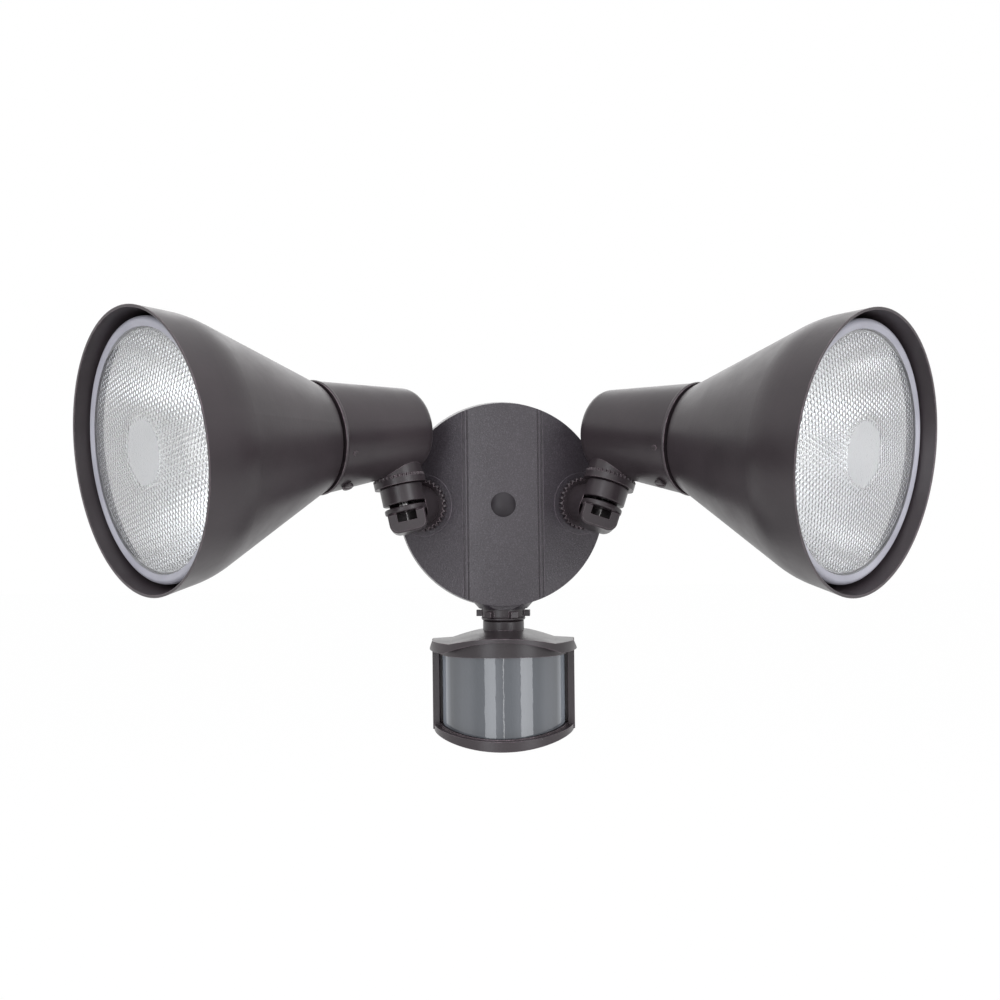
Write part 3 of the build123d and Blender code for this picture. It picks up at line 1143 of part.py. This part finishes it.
def all_pieces():
    """Every piece of the light, by node name."""
    pieces = {
        "canopy": canopy(),
        "wall_gasket": wall_gasket(),
        "mounting_strap": mounting_strap(),
        "mounting_screw": mounting_screw(),
        "centre_plug": centre_plug(),
        "ground_screw": ground_screw(),
        "sensor_locknut": sensor_locknut(),
        "sensor_stem": sensor_stem(),
        "stem_clip": stem_clip(),
        "sensor_case": sensor_case(),
        "sensor_back": sensor_back(),
        "sensor_screws": sensor_screws(),
        "sensor_lens": sensor_lens(),
        "circuit_board": circuit_board(),
        "heat_detector": heat_detector(),
        "light_cell": light_cell(),
        "relay": relay(),
        "capacitor": capacitor(),
        "range_knob": range_knob(),
        "time_switch": time_switch(),
    }
    for name in SIDES:
        for piece, shape in lamp_pieces(name).items():
            pieces[f"{name}_{piece}"] = shape
    return pieces


def write_piece(node, shape):
    """Writes one node, as one solid or as a group of separate solids."""
    items = shape if isinstance(shape, list) else [shape]
    solids = [solid for item in items for solid in item.solids()]
    piece = solids[0] if len(solids) == 1 else Compound(children=solids)
    export_step(piece, f"parts/{node}.step")


def main():
    """Writes every piece."""
    os.makedirs("parts", exist_ok=True)
    for node, shape in all_pieces().items():
        write_piece(node, shape)


main()
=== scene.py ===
import json
from math import cos, hypot, pi, sin, sqrt, tau

import bmesh
import bpy
from mathutils import Matrix, Vector
from mathutils.geometry import delaunay_2d_cdt


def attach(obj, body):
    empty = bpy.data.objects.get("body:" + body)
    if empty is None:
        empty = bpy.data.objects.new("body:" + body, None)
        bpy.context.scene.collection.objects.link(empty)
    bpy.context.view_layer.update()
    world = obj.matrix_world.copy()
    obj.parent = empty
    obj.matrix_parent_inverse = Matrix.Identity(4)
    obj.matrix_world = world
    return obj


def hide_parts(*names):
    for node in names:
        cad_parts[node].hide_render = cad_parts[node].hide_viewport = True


MM = 0.001

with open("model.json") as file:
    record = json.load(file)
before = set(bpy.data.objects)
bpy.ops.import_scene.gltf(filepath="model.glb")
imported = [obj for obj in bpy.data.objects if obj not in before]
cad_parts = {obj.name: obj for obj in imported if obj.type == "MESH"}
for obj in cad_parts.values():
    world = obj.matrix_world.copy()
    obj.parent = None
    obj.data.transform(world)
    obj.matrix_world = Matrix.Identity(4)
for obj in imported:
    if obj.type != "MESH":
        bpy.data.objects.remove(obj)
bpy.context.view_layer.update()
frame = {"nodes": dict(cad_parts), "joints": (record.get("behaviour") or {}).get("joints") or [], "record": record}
nodes = frame["nodes"]
joints = {joint["name"]: joint for joint in frame["joints"]}
scene = bpy.context.scene
SIDES = ("left", "right")

# Camera at the photograph's place and angle
CAMERA_POSITION = Vector((-27.475, -644.07, 2.45)) * MM
CAMERA_FORWARD = Vector((0.0419, 0.9991, 0.0))
CAMERA_UP = Vector((0.0115, 0.0, 0.9999))
CAMERA_LENS = 41.4
CAMERA_SENSOR = 36.0
CAMERA_NEAR = 0.01
CAMERA_FAR = 50.0

# Lamp glass, in millimetres along the lamp's axis from over the knuckle, or out from that axis
LAMP_HEIGHT = 40.1
GLASS_RADIUS = 60.3
GLASS_THICKNESS = 3.6
GLASS_BACK = 127.9
BACK_RADIUS = 56.4
RIM_PLANE = 136.3
RIM_ROUND = 2.3
LENS_RADIUS = 55.7
LENS_EDGE = 135.3
LIP_RISE = 0.25
LIP_WIDTH = 0.9
CROWN = 140.1
INNER_EDGE = LENS_EDGE - GLASS_THICKNESS
INNER_CROWN = CROWN - GLASS_THICKNESS

# Dimples inside the lamp glass, in millimetres, on a triangular lattice of finer points
DIMPLE_PITCH = 2.5
DIMPLE_HEIGHT = 0.75
DIMPLED_RADIUS = 54.4
FROSTED_RADIUS = 15.0
DIMPLE_FADE = 9.0
FADE_START = 0.3
DIMPLE_STEPS = 4
LATTICE_STEP = DIMPLE_PITCH / DIMPLE_STEPS
LATTICE_ROW = LATTICE_STEP * sqrt(3) / 2
DIMPLE_CORNER = DIMPLE_PITCH / sqrt(3)

# Fineness of the lamp glass
RING_POINTS = 128
RIM_STEPS = 6
CROWN_RADII = (52, 48, 43, 37, 30, 22, 14, 7, 0)
TRIANGLES_INSIDE = 1
MERGE_GAP = 1e-6

# Which finish a face of the lamp glass takes, and how far past their edges two of them reach
GLASS_FINISHES = ("clear_glass", "frosted_glass", "rim_glass")
FROSTED_MARGIN = 0.2
RIM_MARGIN = 0.3

# Most of a noise texture lies between these values
NOISE_LOW = 0.3
NOISE_HIGH = 0.7

# Rounding of sharp edges, in metres
PAINT_EDGE = 0.0005
POWDER_EDGE = 0.0004
FINE_EDGE = 0.0003
EDGE_SAMPLES = 4

# Paler, partly metallic colour along sharp edges, for worn paint and as a painted highlight where edges catch the
# light: how far a normal turns before it starts and where it is full
EDGE_WEAR_HIGHLIGHT_START = 0.985
EDGE_WEAR_HIGHLIGHT_FULL = 0.85
EDGE_WEAR_HIGHLIGHT_METALLIC = 0.7

# A Mix node repeats its socket names for each kind of data; these are its colour sockets
MIX_FIRST, MIX_SECOND, MIX_RESULT = 6, 7, 2

BLACK = (0.0, 0.0, 0.0)
WHITE = (1.0, 1.0, 1.0)


# ---------------------------------------------------------------- nodes and objects

def new_object(name, data):
    obj = bpy.data.objects.new(name, data)
    scene.collection.objects.link(obj)
    return obj


def new_material(name):
    material = bpy.data.materials.new(name)
    material.use_nodes = True
    tree = material.node_tree
    shader = tree.nodes["Principled BSDF"]
    return material, tree, shader


def feed(tree, node, inputs):
    """Give each named or numbered input of a node a socket to read, or a plain value."""
    for key, source in inputs.items():
        if isinstance(source, bpy.types.NodeSocket):
            tree.links.new(source, node.inputs[key])
        else:
            node.inputs[key].default_value = source


def new_node(tree, kind, inputs, **settings):
    node = tree.nodes.new(f"ShaderNode{kind}")
    for name, value in settings.items():
        setattr(node, name, value)
    feed(tree, node, inputs)
    return node


def place(tree):
    """Where a point lies on its object, which at rest is where it lies in the shared frame."""
    return new_node(tree, "TexCoord", {}).outputs["Object"]


def noise(tree, scale, detail=3.0, roughness=0.5):
    inputs = {"Vector": place(tree), "Scale": scale, "Detail": detail, "Roughness": roughness}
    return new_node(tree, "TexNoise", inputs).outputs["Fac"]


def cells(tree, scale):
    return new_node(tree, "TexVoronoi", {"Vector": place(tree), "Scale": scale}).outputs["Distance"]


def ramp(tree, source, low, high, first, last):
    """Colours from first to last as source goes from low to high."""
    node = new_node(tree, "ValToRGB", {"Fac": source})
    for element, position, colour in zip(node.color_ramp.elements, (low, high), (first, last)):
        element.position = position
        element.color = (*colour, 1.0)
    return node.outputs["Color"]


def span(tree, source, low, high, first, last):
    """Numbers from first to last as source goes from low to high."""
    limits = {"From Min": low, "From Max": high, "To Min": first, "To Max": last}
    return new_node(tree, "MapRange", {"Value": source, **limits}).outputs["Result"]


def maths(tree, operation, first, second):
    return new_node(tree, "Math", {0: first, 1: second}, operation=operation).outputs[0]


def mix_colours(tree, share, first, second, blend_type="MIX"):
    inputs = {"Factor": share, MIX_FIRST: first, MIX_SECOND: second}
    return new_node(tree, "Mix", inputs, data_type="RGBA", blend_type=blend_type).outputs[MIX_RESULT]


def mix_shaders(tree, share, first, second):
    inputs = {0: share, 1: first.outputs[0], 2: second.outputs[0]}
    return new_node(tree, "MixShader", inputs).outputs[0]


def bump(tree, height, distance, strength, normal=None):
    inputs = {"Height": height, "Distance": distance, "Strength": strength}
    if normal is not None:
        inputs["Normal"] = normal
    return new_node(tree, "Bump", inputs).outputs["Normal"]


def brighter(colour, factor):
    return tuple(factor * channel for channel in colour)


# ---------------------------------------------------------------- finishes

def soft_edges(tree, radius):
    """Normal rounded over along sharp edges, the way a coat of paint rounds them."""
    return new_node(tree, "Bevel", {"Radius": radius}, samples=EDGE_SAMPLES).outputs["Normal"]


def worn_and_highlit_edges(tree, shader, colour, bare_and_lit_colour, radius):
    """Base colour that turns paler and metallic in broken lines along sharp edges: paint worn thin there, and a
    painted highlight where the edges catch the light.
    """
    normal = new_node(tree, "NewGeometry", {}).outputs["Normal"]
    both = {0: soft_edges(tree, radius), 1: normal}
    turn = new_node(tree, "VectorMath", both, operation="DOT_PRODUCT").outputs["Value"]
    sharp = span(tree, turn, EDGE_WEAR_HIGHLIGHT_START, EDGE_WEAR_HIGHLIGHT_FULL, 0.0, 1.0)
    patchy = span(tree, noise(tree, 240.0), 0.35, 0.65, 0.35, 1.0)
    amount = maths(tree, "MULTIPLY", sharp, patchy)
    feed(tree, shader, {
        # Painted highlight and wear: the colour is mixed paler along sharp edges
        "Base Color": mix_colours(tree, amount, colour, (*bare_and_lit_colour, 1.0)),
        "Metallic": span(tree, amount, 0.0, 1.0, 0.0, EDGE_WEAR_HIGHLIGHT_METALLIC),
    })


def painted(name, low, high, rough, grain, depth):
    """Satin paint: slow colour drift, fine orange-peel bump, worn round edges with a painted highlight on them,
    and uneven gloss.
    """
    material, tree, shader = new_material(name)
    drift = ramp(tree, noise(tree, 28.0, 4.0), NOISE_LOW, 0.72, low, high)
    # Edges painted paler: worn paint and a painted highlight
    worn_and_highlit_edges(tree, shader, drift, brighter(high, 7.0), PAINT_EDGE)
    fine = bump(tree, noise(tree, grain, 2.0), depth, 0.6, soft_edges(tree, PAINT_EDGE))
    feed(tree, shader, {
        "Roughness": span(tree, noise(tree, 60.0, 5.0, 0.6), NOISE_LOW, NOISE_HIGH, *rough),
        "Normal": bump(tree, noise(tree, grain / 6, 2.0), depth * 2, 0.35, fine),
        "Specular IOR Level": 0.5,
    })
    return material


def textured_powder(name, low, high):
    """Powder coat with raised specks, paler painted glints among them, and edges painted paler, over a slightly
    wavy face.
    """
    material, tree, shader = new_material(name)
    specks = cells(tree, 1500.0)
    drift = ramp(tree, noise(tree, 25.0, 4.0), NOISE_LOW, NOISE_HIGH, low, high)
    # Painted glints: pale flecks added to the colour, standing for light caught by the specks
    painted_glints = ramp(tree, noise(tree, 1500.0, 3.0, 0.7), 0.5, 0.72, BLACK, (0.055, 0.053, 0.058))
    speckled = mix_colours(tree, 1.0, drift, painted_glints, "ADD")
    # Edges painted paler: worn powder coat and a painted highlight
    worn_and_highlit_edges(tree, shader, speckled, brighter(high, 4.0), POWDER_EDGE)
    sway = bump(tree, noise(tree, 14.0, 1.0), 0.003, 0.35, soft_edges(tree, FINE_EDGE))
    coarse = bump(tree, noise(tree, 900.0, 3.0, 0.6), 0.0002, 0.7, sway)
    feed(tree, shader, {
        "Roughness": span(tree, specks, 0.0, 0.7, 0.24, 0.42),
        "Normal": bump(tree, specks, 0.00015, 0.5, coarse),
        "Specular IOR Level": 0.6,
    })
    return material


def metal(name, low, high, rough, grain=220.0):
    """Bare metal with fine lines and smudges."""
    material, tree, shader = new_material(name)
    feed(tree, shader, {
        "Metallic": 1.0,
        "Base Color": ramp(tree, noise(tree, 90.0, 5.0), NOISE_LOW, NOISE_HIGH, low, high),
        "Roughness": span(tree, noise(tree, grain, 4.0, 0.65), NOISE_LOW, NOISE_HIGH, *rough),
        "Normal": bump(tree, noise(tree, grain * 8, 2.0), 0.00005, 0.4, soft_edges(tree, FINE_EDGE)),
    })
    return material


def moulded(name, low, high, rough, specular=0.5, grain=1400.0, depth=0.00004, clearness=0.0):
    """Plastic, rubber, ceramic or clouded glass with a faint grain."""
    material, tree, shader = new_material(name)
    feed(tree, shader, {
        "Base Color": ramp(tree, noise(tree, 45.0, 4.0), NOISE_LOW, NOISE_HIGH, low, high),
        "Roughness": span(tree, noise(tree, 120.0, 4.0), NOISE_LOW, NOISE_HIGH, *rough),
        "Normal": bump(tree, noise(tree, grain, 2.0), depth, 0.5, soft_edges(tree, FINE_EDGE)),
        "Specular IOR Level": specular,
        "Transmission Weight": clearness,
    })
    return material


def clear(name, tint, rough, haze=0.0):
    """Clear glass, with a share of it clouded."""
    material, tree, shader = new_material(name)
    paler = tuple(min(1.0, channel) for channel in brighter(tint, 1.02))
    feed(tree, shader, {
        "Transmission Weight": 1.0 - haze,
        "IOR": 1.5,
        "Base Color": ramp(tree, noise(tree, 30.0), NOISE_LOW, NOISE_HIGH, tint, paler),
        "Roughness": span(tree, noise(tree, 150.0), NOISE_LOW, NOISE_HIGH, rough * 0.7, rough * 1.3),
    })
    return material


def smoked(name):
    """Glossy smoked lens with upright moulded ribs inside, and a painted reflection that makes it paler where it
    turns away.
    """
    material, tree, shader = new_material(name)
    waves = {"Vector": place(tree), "Scale": 22.0, "Distortion": 0.6, "Detail": 1.0}
    ribs = new_node(tree, "TexWave", waves).outputs["Fac"]
    body = ramp(tree, ribs, 0.1, 0.9, (0.095, 0.103, 0.114), (0.13, 0.138, 0.15))
    facing = new_node(tree, "LayerWeight", {"Blend": 0.5}).outputs["Facing"]
    # Painted reflection: colour made paler toward the edges that turn away from the view
    glow = ramp(tree, facing, 0.5, 0.95, BLACK, (0.42, 0.46, 0.5))
    ripple = bump(tree, noise(tree, 130.0, 2.0), 0.00025, 0.3)
    feed(tree, shader, {
        "Base Color": mix_colours(tree, 1.0, body, glow, "ADD"),
        "Roughness": span(tree, noise(tree, 80.0), NOISE_LOW, NOISE_HIGH, 0.015, 0.04),
        "Normal": bump(tree, noise(tree, 900.0, 1.0), 0.00001, 0.3, ripple),
        "Specular IOR Level": 0.75,
    })
    return material


# Each row: how the finish is made, its name, its darkest and palest colour, and what else it takes
FINISHES = (
    (painted, "bronze_paint", (0.028, 0.021, 0.024), (0.043, 0.0328, 0.0368),
     {"rough": (0.30, 0.40), "grain": 1100.0, "depth": 0.00005}),
    (painted, "green_steel", (0.015, 0.16, 0.04), (0.03, 0.24, 0.07),
     {"rough": (0.25, 0.4), "grain": 900.0, "depth": 0.00004}),
    (textured_powder, "textured_bronze", (0.036, 0.0295, 0.0355), (0.053, 0.044, 0.052), {}),
    (metal, "zinc_steel", (0.42, 0.42, 0.41), (0.6, 0.6, 0.58), {"rough": (0.22, 0.38)}),
    (metal, "dark_steel", (0.24, 0.23, 0.23), (0.34, 0.33, 0.33), {"rough": (0.14, 0.24)}),
    (metal, "brass", (0.58, 0.40, 0.16), (0.74, 0.55, 0.25), {"rough": (0.18, 0.34)}),
    (metal, "silvered_glass", (0.93, 0.935, 0.945), (0.97, 0.975, 0.98),
     {"rough": (0.05, 0.1), "grain": 60.0}),
    (moulded, "pale_foam", (0.5, 0.5, 0.48), (0.66, 0.66, 0.64),
     {"rough": (0.8, 0.95), "specular": 0.2, "grain": 900.0, "depth": 0.0002}),
    (moulded, "dark_rubber", (0.019, 0.015, 0.0185), (0.030, 0.0245, 0.029),
     {"rough": (0.42, 0.55), "specular": 0.4}),
    (moulded, "porcelain", (0.72, 0.68, 0.6), (0.82, 0.79, 0.72), {"rough": (0.12, 0.22), "grain": 500.0}),
    (moulded, "black_glass", (0.012, 0.012, 0.013), (0.03, 0.03, 0.03), {"rough": (0.1, 0.2)}),
    (moulded, "green_board", (0.01, 0.07, 0.025), (0.02, 0.12, 0.04),
     {"rough": (0.25, 0.45), "grain": 400.0}),
    (moulded, "amber_cell", (0.3, 0.09, 0.02), (0.42, 0.16, 0.04), {"rough": (0.1, 0.2)}),
    (moulded, "black_plastic", (0.010, 0.010, 0.0105), (0.022, 0.021, 0.021), {"rough": (0.3, 0.5)}),
    (moulded, "frosted_glass", (0.93, 0.935, 0.945), (0.97, 0.975, 0.98),
     {"rough": (0.35, 0.5), "grain": 1100.0, "depth": 0.0002, "clearness": 0.5}),
    (moulded, "rim_glass", (0.38, 0.375, 0.42), (0.48, 0.475, 0.52),
     {"rough": (0.3, 0.42), "specular": 0.35, "grain": 700.0}),
)

finishes = {name: make(name, low, high, **more) for make, name, low, high, more in FINISHES}
finishes["clear_glass"] = clear("clear_glass", (0.985, 0.992, 1.0), 0.03, haze=0.1)
finishes["capsule_glass"] = clear("capsule_glass", (0.93, 0.93, 0.9), 0.12)
finishes["smoked_lens"] = smoked("smoked_lens")

for entry in frame["record"]["subparts"]:
    obj = nodes[entry["node"]]
    obj.data.materials.clear()
    obj.data.materials.append(finishes[entry["material_slot"]])


# ---------------------------------------------------------------- lamp glass

def lamp_frame(name):
    """Matrix of a lamp's frame: X along the lamp's axis, Z up along the knuckle's screw, in metres."""
    side = -1 if name == "left" else 1
    turn = joints[f"{name}_lamp_turn"]
    up = Vector(turn["axis"]) * side
    along = Vector(joints[f"{name}_bulb_out"]["axis"])
    centre = Vector(turn["pos_m"]) + up * LAMP_HEIGHT * MM
    matrix = Matrix((along, up.cross(along), up)).transposed().to_4x4()
    matrix.translation = centre
    return matrix @ Matrix.Scale(MM, 4)


def cap_x(radius, edge_x, crown_x):
    """Position along the axis of a spherical face at a radius."""
    rise = crown_x - edge_x
    sphere = (LENS_RADIUS ** 2 + rise ** 2) / (2 * rise)
    return crown_x - sphere + sqrt(sphere ** 2 - radius ** 2)


def glass_profile():
    """Points (x, radius) from the edge of the dimples round the back and the rim to the crown."""
    round_x = RIM_PLANE - RIM_ROUND
    round_radius = GLASS_RADIUS - RIM_ROUND
    angles = [t * pi / (2 * RIM_STEPS) for t in range(RIM_STEPS + 1)]
    return [
        (cap_x(DIMPLED_RADIUS, INNER_EDGE, INNER_CROWN), DIMPLED_RADIUS),
        (INNER_EDGE, LENS_RADIUS),
        (GLASS_BACK, BACK_RADIUS),
        (GLASS_BACK, GLASS_RADIUS),
        *[(round_x + RIM_ROUND * sin(angle), round_radius + RIM_ROUND * cos(angle)) for angle in angles],
        (LENS_EDGE + LIP_RISE, LENS_RADIUS + LIP_WIDTH),
        (LENS_EDGE, LENS_RADIUS),
        *[(cap_x(radius, LENS_EDGE, CROWN), radius) for radius in CROWN_RADII],
    ]


def ring_of(mesh, x, radius):
    """Vertices round X; a zero radius gives one point."""
    if radius == 0:
        return [mesh.verts.new((x, 0, 0))]
    angles = [i * tau / RING_POINTS for i in range(RING_POINTS)]
    return [mesh.verts.new((x, radius * cos(angle), radius * sin(angle))) for angle in angles]


def turned(mesh, profile):
    """Faces between rings round X through the profile's points; returns the first ring."""
    rings = [ring_of(mesh, x, radius) for x, radius in profile]
    for a, b in zip(rings, rings[1:]):
        for i in range(RING_POINTS):
            j = (i + 1) % RING_POINTS
            corners = [a[i % len(a)], a[j % len(a)], b[j % len(b)], b[i % len(b)]]
            corners = [c for k, c in enumerate(corners) if c not in corners[:k]]
            mesh.faces.new(corners)
    return rings[0]


def lattice_point(i, j):
    """Point (y, z) of the fine lattice; every DIMPLE_STEPS steps lies the middle of a dimple."""
    return (i + j / 2) * LATTICE_STEP, j * LATTICE_ROW


def dimple_height(i, j):
    """How far the glass swells inward at a lattice point, by the dimple that it belongs to."""
    y, z = lattice_point(i, j)
    middle_i = DIMPLE_STEPS * round(i / DIMPLE_STEPS)
    middle_j = DIMPLE_STEPS * round(j / DIMPLE_STEPS)
    moves = (-DIMPLE_STEPS, 0, DIMPLE_STEPS)
    centres = [lattice_point(middle_i + di, middle_j + dj) for dj in moves for di in moves]
    centre = min(centres, key=lambda c: hypot(y - c[0], z - c[1]))
    from_axis = hypot(*centre)
    if from_axis < FROSTED_RADIUS:
        return 0.0
    depth = DIMPLE_HEIGHT * min(1.0, FADE_START + (from_axis - FROSTED_RADIUS) / DIMPLE_FADE)
    share = hypot(y - centre[0], z - centre[1]) / DIMPLE_CORNER
    return depth * (1 - share ** 2)


def dimple_points():
    """Lattice points (y, z) over the dimpled zone, with how far the glass swells at each."""
    reach = int(DIMPLED_RADIUS / LATTICE_ROW) + 1
    points = []
    for j in range(-reach, reach + 1):
        for i in range(-reach - abs(j), reach + abs(j) + 1):
            y, z = lattice_point(i, j)
            if hypot(y, z) <= DIMPLED_RADIUS - LATTICE_STEP / 2:
                points.append((y, z, dimple_height(i, j)))
    return points


def close_inside(mesh, ring):
    """Dimpled inner face of the glass, joined to its outer ring of vertices."""
    lattice = dimple_points()
    points = [Vector((v.co.y, v.co.z)) for v in ring] + [Vector((y, z)) for y, z, _ in lattice]
    edges = [(i, (i + 1) % RING_POINTS) for i in range(RING_POINTS)]
    made, _, faces, origin, _, _ = delaunay_2d_cdt(points, edges, [], TRIANGLES_INSIDE, MERGE_GAP)
    verts = []
    for point, sources in zip(made, origin):
        source = sources[0] if sources else -1
        if 0 <= source < RING_POINTS:
            verts.append(ring[source])
            continue
        height = lattice[source - RING_POINTS][2] if source >= RING_POINTS else 0.0
        x = cap_x(point.length, INNER_EDGE, INNER_CROWN) - height
        verts.append(mesh.verts.new((x, point.x, point.y)))
    for face in faces:
        mesh.faces.new([verts[i] for i in face])


def mark_faces(mesh):
    """Frosted finish in the middle of the inner face, rim finish round the edge, clear elsewhere."""
    for face in mesh.faces:
        face.smooth = True
        centre = face.calc_center_median()
        from_axis = hypot(centre.y, centre.z)
        if from_axis < FROSTED_RADIUS and centre.x < INNER_CROWN + FROSTED_MARGIN:
            face.material_index = GLASS_FINISHES.index("frosted_glass")
        elif from_axis > LENS_RADIUS - RIM_MARGIN:
            face.material_index = GLASS_FINISHES.index("rim_glass")


def lens_glass(name):
    """Front glass of one bulb, smooth outside, with a dimpled inside round a frosted middle."""
    mesh = bmesh.new()
    close_inside(mesh, turned(mesh, glass_profile()))
    bmesh.ops.recalc_face_normals(mesh, faces=mesh.faces)
    mark_faces(mesh)
    data = bpy.data.meshes.new(f"{name}_lens_glass")
    mesh.to_mesh(data)
    mesh.free()
    data.transform(lamp_frame(name))
    for finish in GLASS_FINISHES:
        data.materials.append(finishes[finish])
    piece = new_object(f"{name}_lens_glass", data)
    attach(piece, f"{name}_bulb")
    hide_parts(f"{name}_bulb_lens")


for side_name in SIDES:
    lens_glass(side_name)


# ---------------------------------------------------------------- camera

def make_camera():
    data = bpy.data.cameras.new("camera")
    data.lens = CAMERA_LENS
    data.sensor_width = CAMERA_SENSOR
    data.clip_start = CAMERA_NEAR
    data.clip_end = CAMERA_FAR
    camera = new_object("camera", data)
    forward = CAMERA_FORWARD.normalized()
    right = forward.cross(CAMERA_UP).normalized()
    camera.matrix_world = Matrix((right, right.cross(forward), -forward)).transposed().to_4x4()
    camera.location = CAMERA_POSITION
    scene.camera = camera


make_camera()


# ---------------------------------------------------------------- light

# Places and sizes in metres
BEFORE_LIGHT = (0, -0.05, 0.2)
DIM_SKY = (0.95, 0.95, 1.0)
DIM_STRENGTH = 0.5


def softbox(name, position, aim, size, watts, colour=WHITE):
    data = bpy.data.lights.new(name, "AREA")
    data.shape = "RECTANGLE"
    data.size, data.size_y = size
    data.energy = watts
    data.color = colour
    light = new_object(name, data)
    light.location = position
    light.rotation_euler = (Vector(aim) - Vector(position)).to_track_quat("-Z", "Y").to_euler()


def make_world():
    """White where it is seen directly, mirrored or through glass, and dim where it only lights."""
    world = bpy.data.worlds.new("world")
    scene.world = world
    world.use_nodes = True
    sky = world.node_tree
    sky.nodes.clear()
    rays = new_node(sky, "LightPath", {}).outputs
    seen = maths(sky, "MAXIMUM", rays["Is Camera Ray"], rays["Is Glossy Ray"])
    shown = maths(sky, "MAXIMUM", seen, rays["Is Transmission Ray"])
    dim = new_node(sky, "Background", {"Color": (*DIM_SKY, 1.0), "Strength": DIM_STRENGTH})
    white = new_node(sky, "Background", {"Color": (*WHITE, 1.0), "Strength": 1.0})
    new_node(sky, "OutputWorld", {"Surface": mix_shaders(sky, shown, dim, white)})


softbox("key_left", (-0.6, -1.18, 0.2), BEFORE_LIGHT, (0.46, 1.3), 5.2, (0.93, 0.96, 1.0))
softbox("key_right", (0.95, -1.15, 0.2), BEFORE_LIGHT, (0.6, 1.3), 7.5, (0.95, 0.97, 1.0))
softbox("strip", (-0.07, -1.35, 0.2), (-0.07, 0, 0.2), (0.035, 1.3), 0.5)
softbox("top", (0.0, -0.6, 1.5), (0, -0.05, 0), (2.2, 1.6), 11.0, (0.94, 0.95, 1.0))
softbox("back_fill", (0.0, 1.6, 0.7), (0, 0, 0), (1.6, 1.0), 4.0)
make_world()


# ---------------------------------------------------------------- floor

# The floor lies well below the light, which hangs on a wall; heights and reach in metres
FLOOR_Z = -0.5
FLOOR_REACH = 6
FLOOR_LOW = (0.84, 0.84, 0.84)
FLOOR_HIGH = (0.87, 0.87, 0.87)
FLOOR_GLOW = 1.012
FLOOR_GLOW_SHARE = 0.97


def floor_paint():
    """Pale paint that shows white to the camera and in reflections, but for the object's shadow."""
    material, tree, shader = new_material("floor_paint")
    pale = ramp(tree, noise(tree, 3.0, 2.0), NOISE_LOW, NOISE_HIGH, FLOOR_LOW, FLOOR_HIGH)
    feed(tree, shader, {"Base Color": pale, "Roughness": 0.9})
    rays = new_node(tree, "LightPath", {}).outputs
    seen = maths(tree, "MAXIMUM", rays["Is Camera Ray"], rays["Is Glossy Ray"])
    share = maths(tree, "MULTIPLY", seen, FLOOR_GLOW_SHARE)
    glow = new_node(tree, "Emission", {"Strength": FLOOR_GLOW})
    feed(tree, tree.nodes["Material Output"], {"Surface": mix_shaders(tree, share, shader, glow)})
    return material


def make_floor():
    corners = [(x * FLOOR_REACH, y * FLOOR_REACH, FLOOR_Z) for x, y in ((-1, -1), (1, -1), (1, 1), (-1, 1))]
    mesh = bpy.data.meshes.new("floor")
    mesh.from_pydata(corners, [], [(0, 1, 2, 3)])
    mesh.materials.append(floor_paint())
    floor = new_object("floor", mesh)


make_floor()

scene.view_settings.view_transform = "Standard"
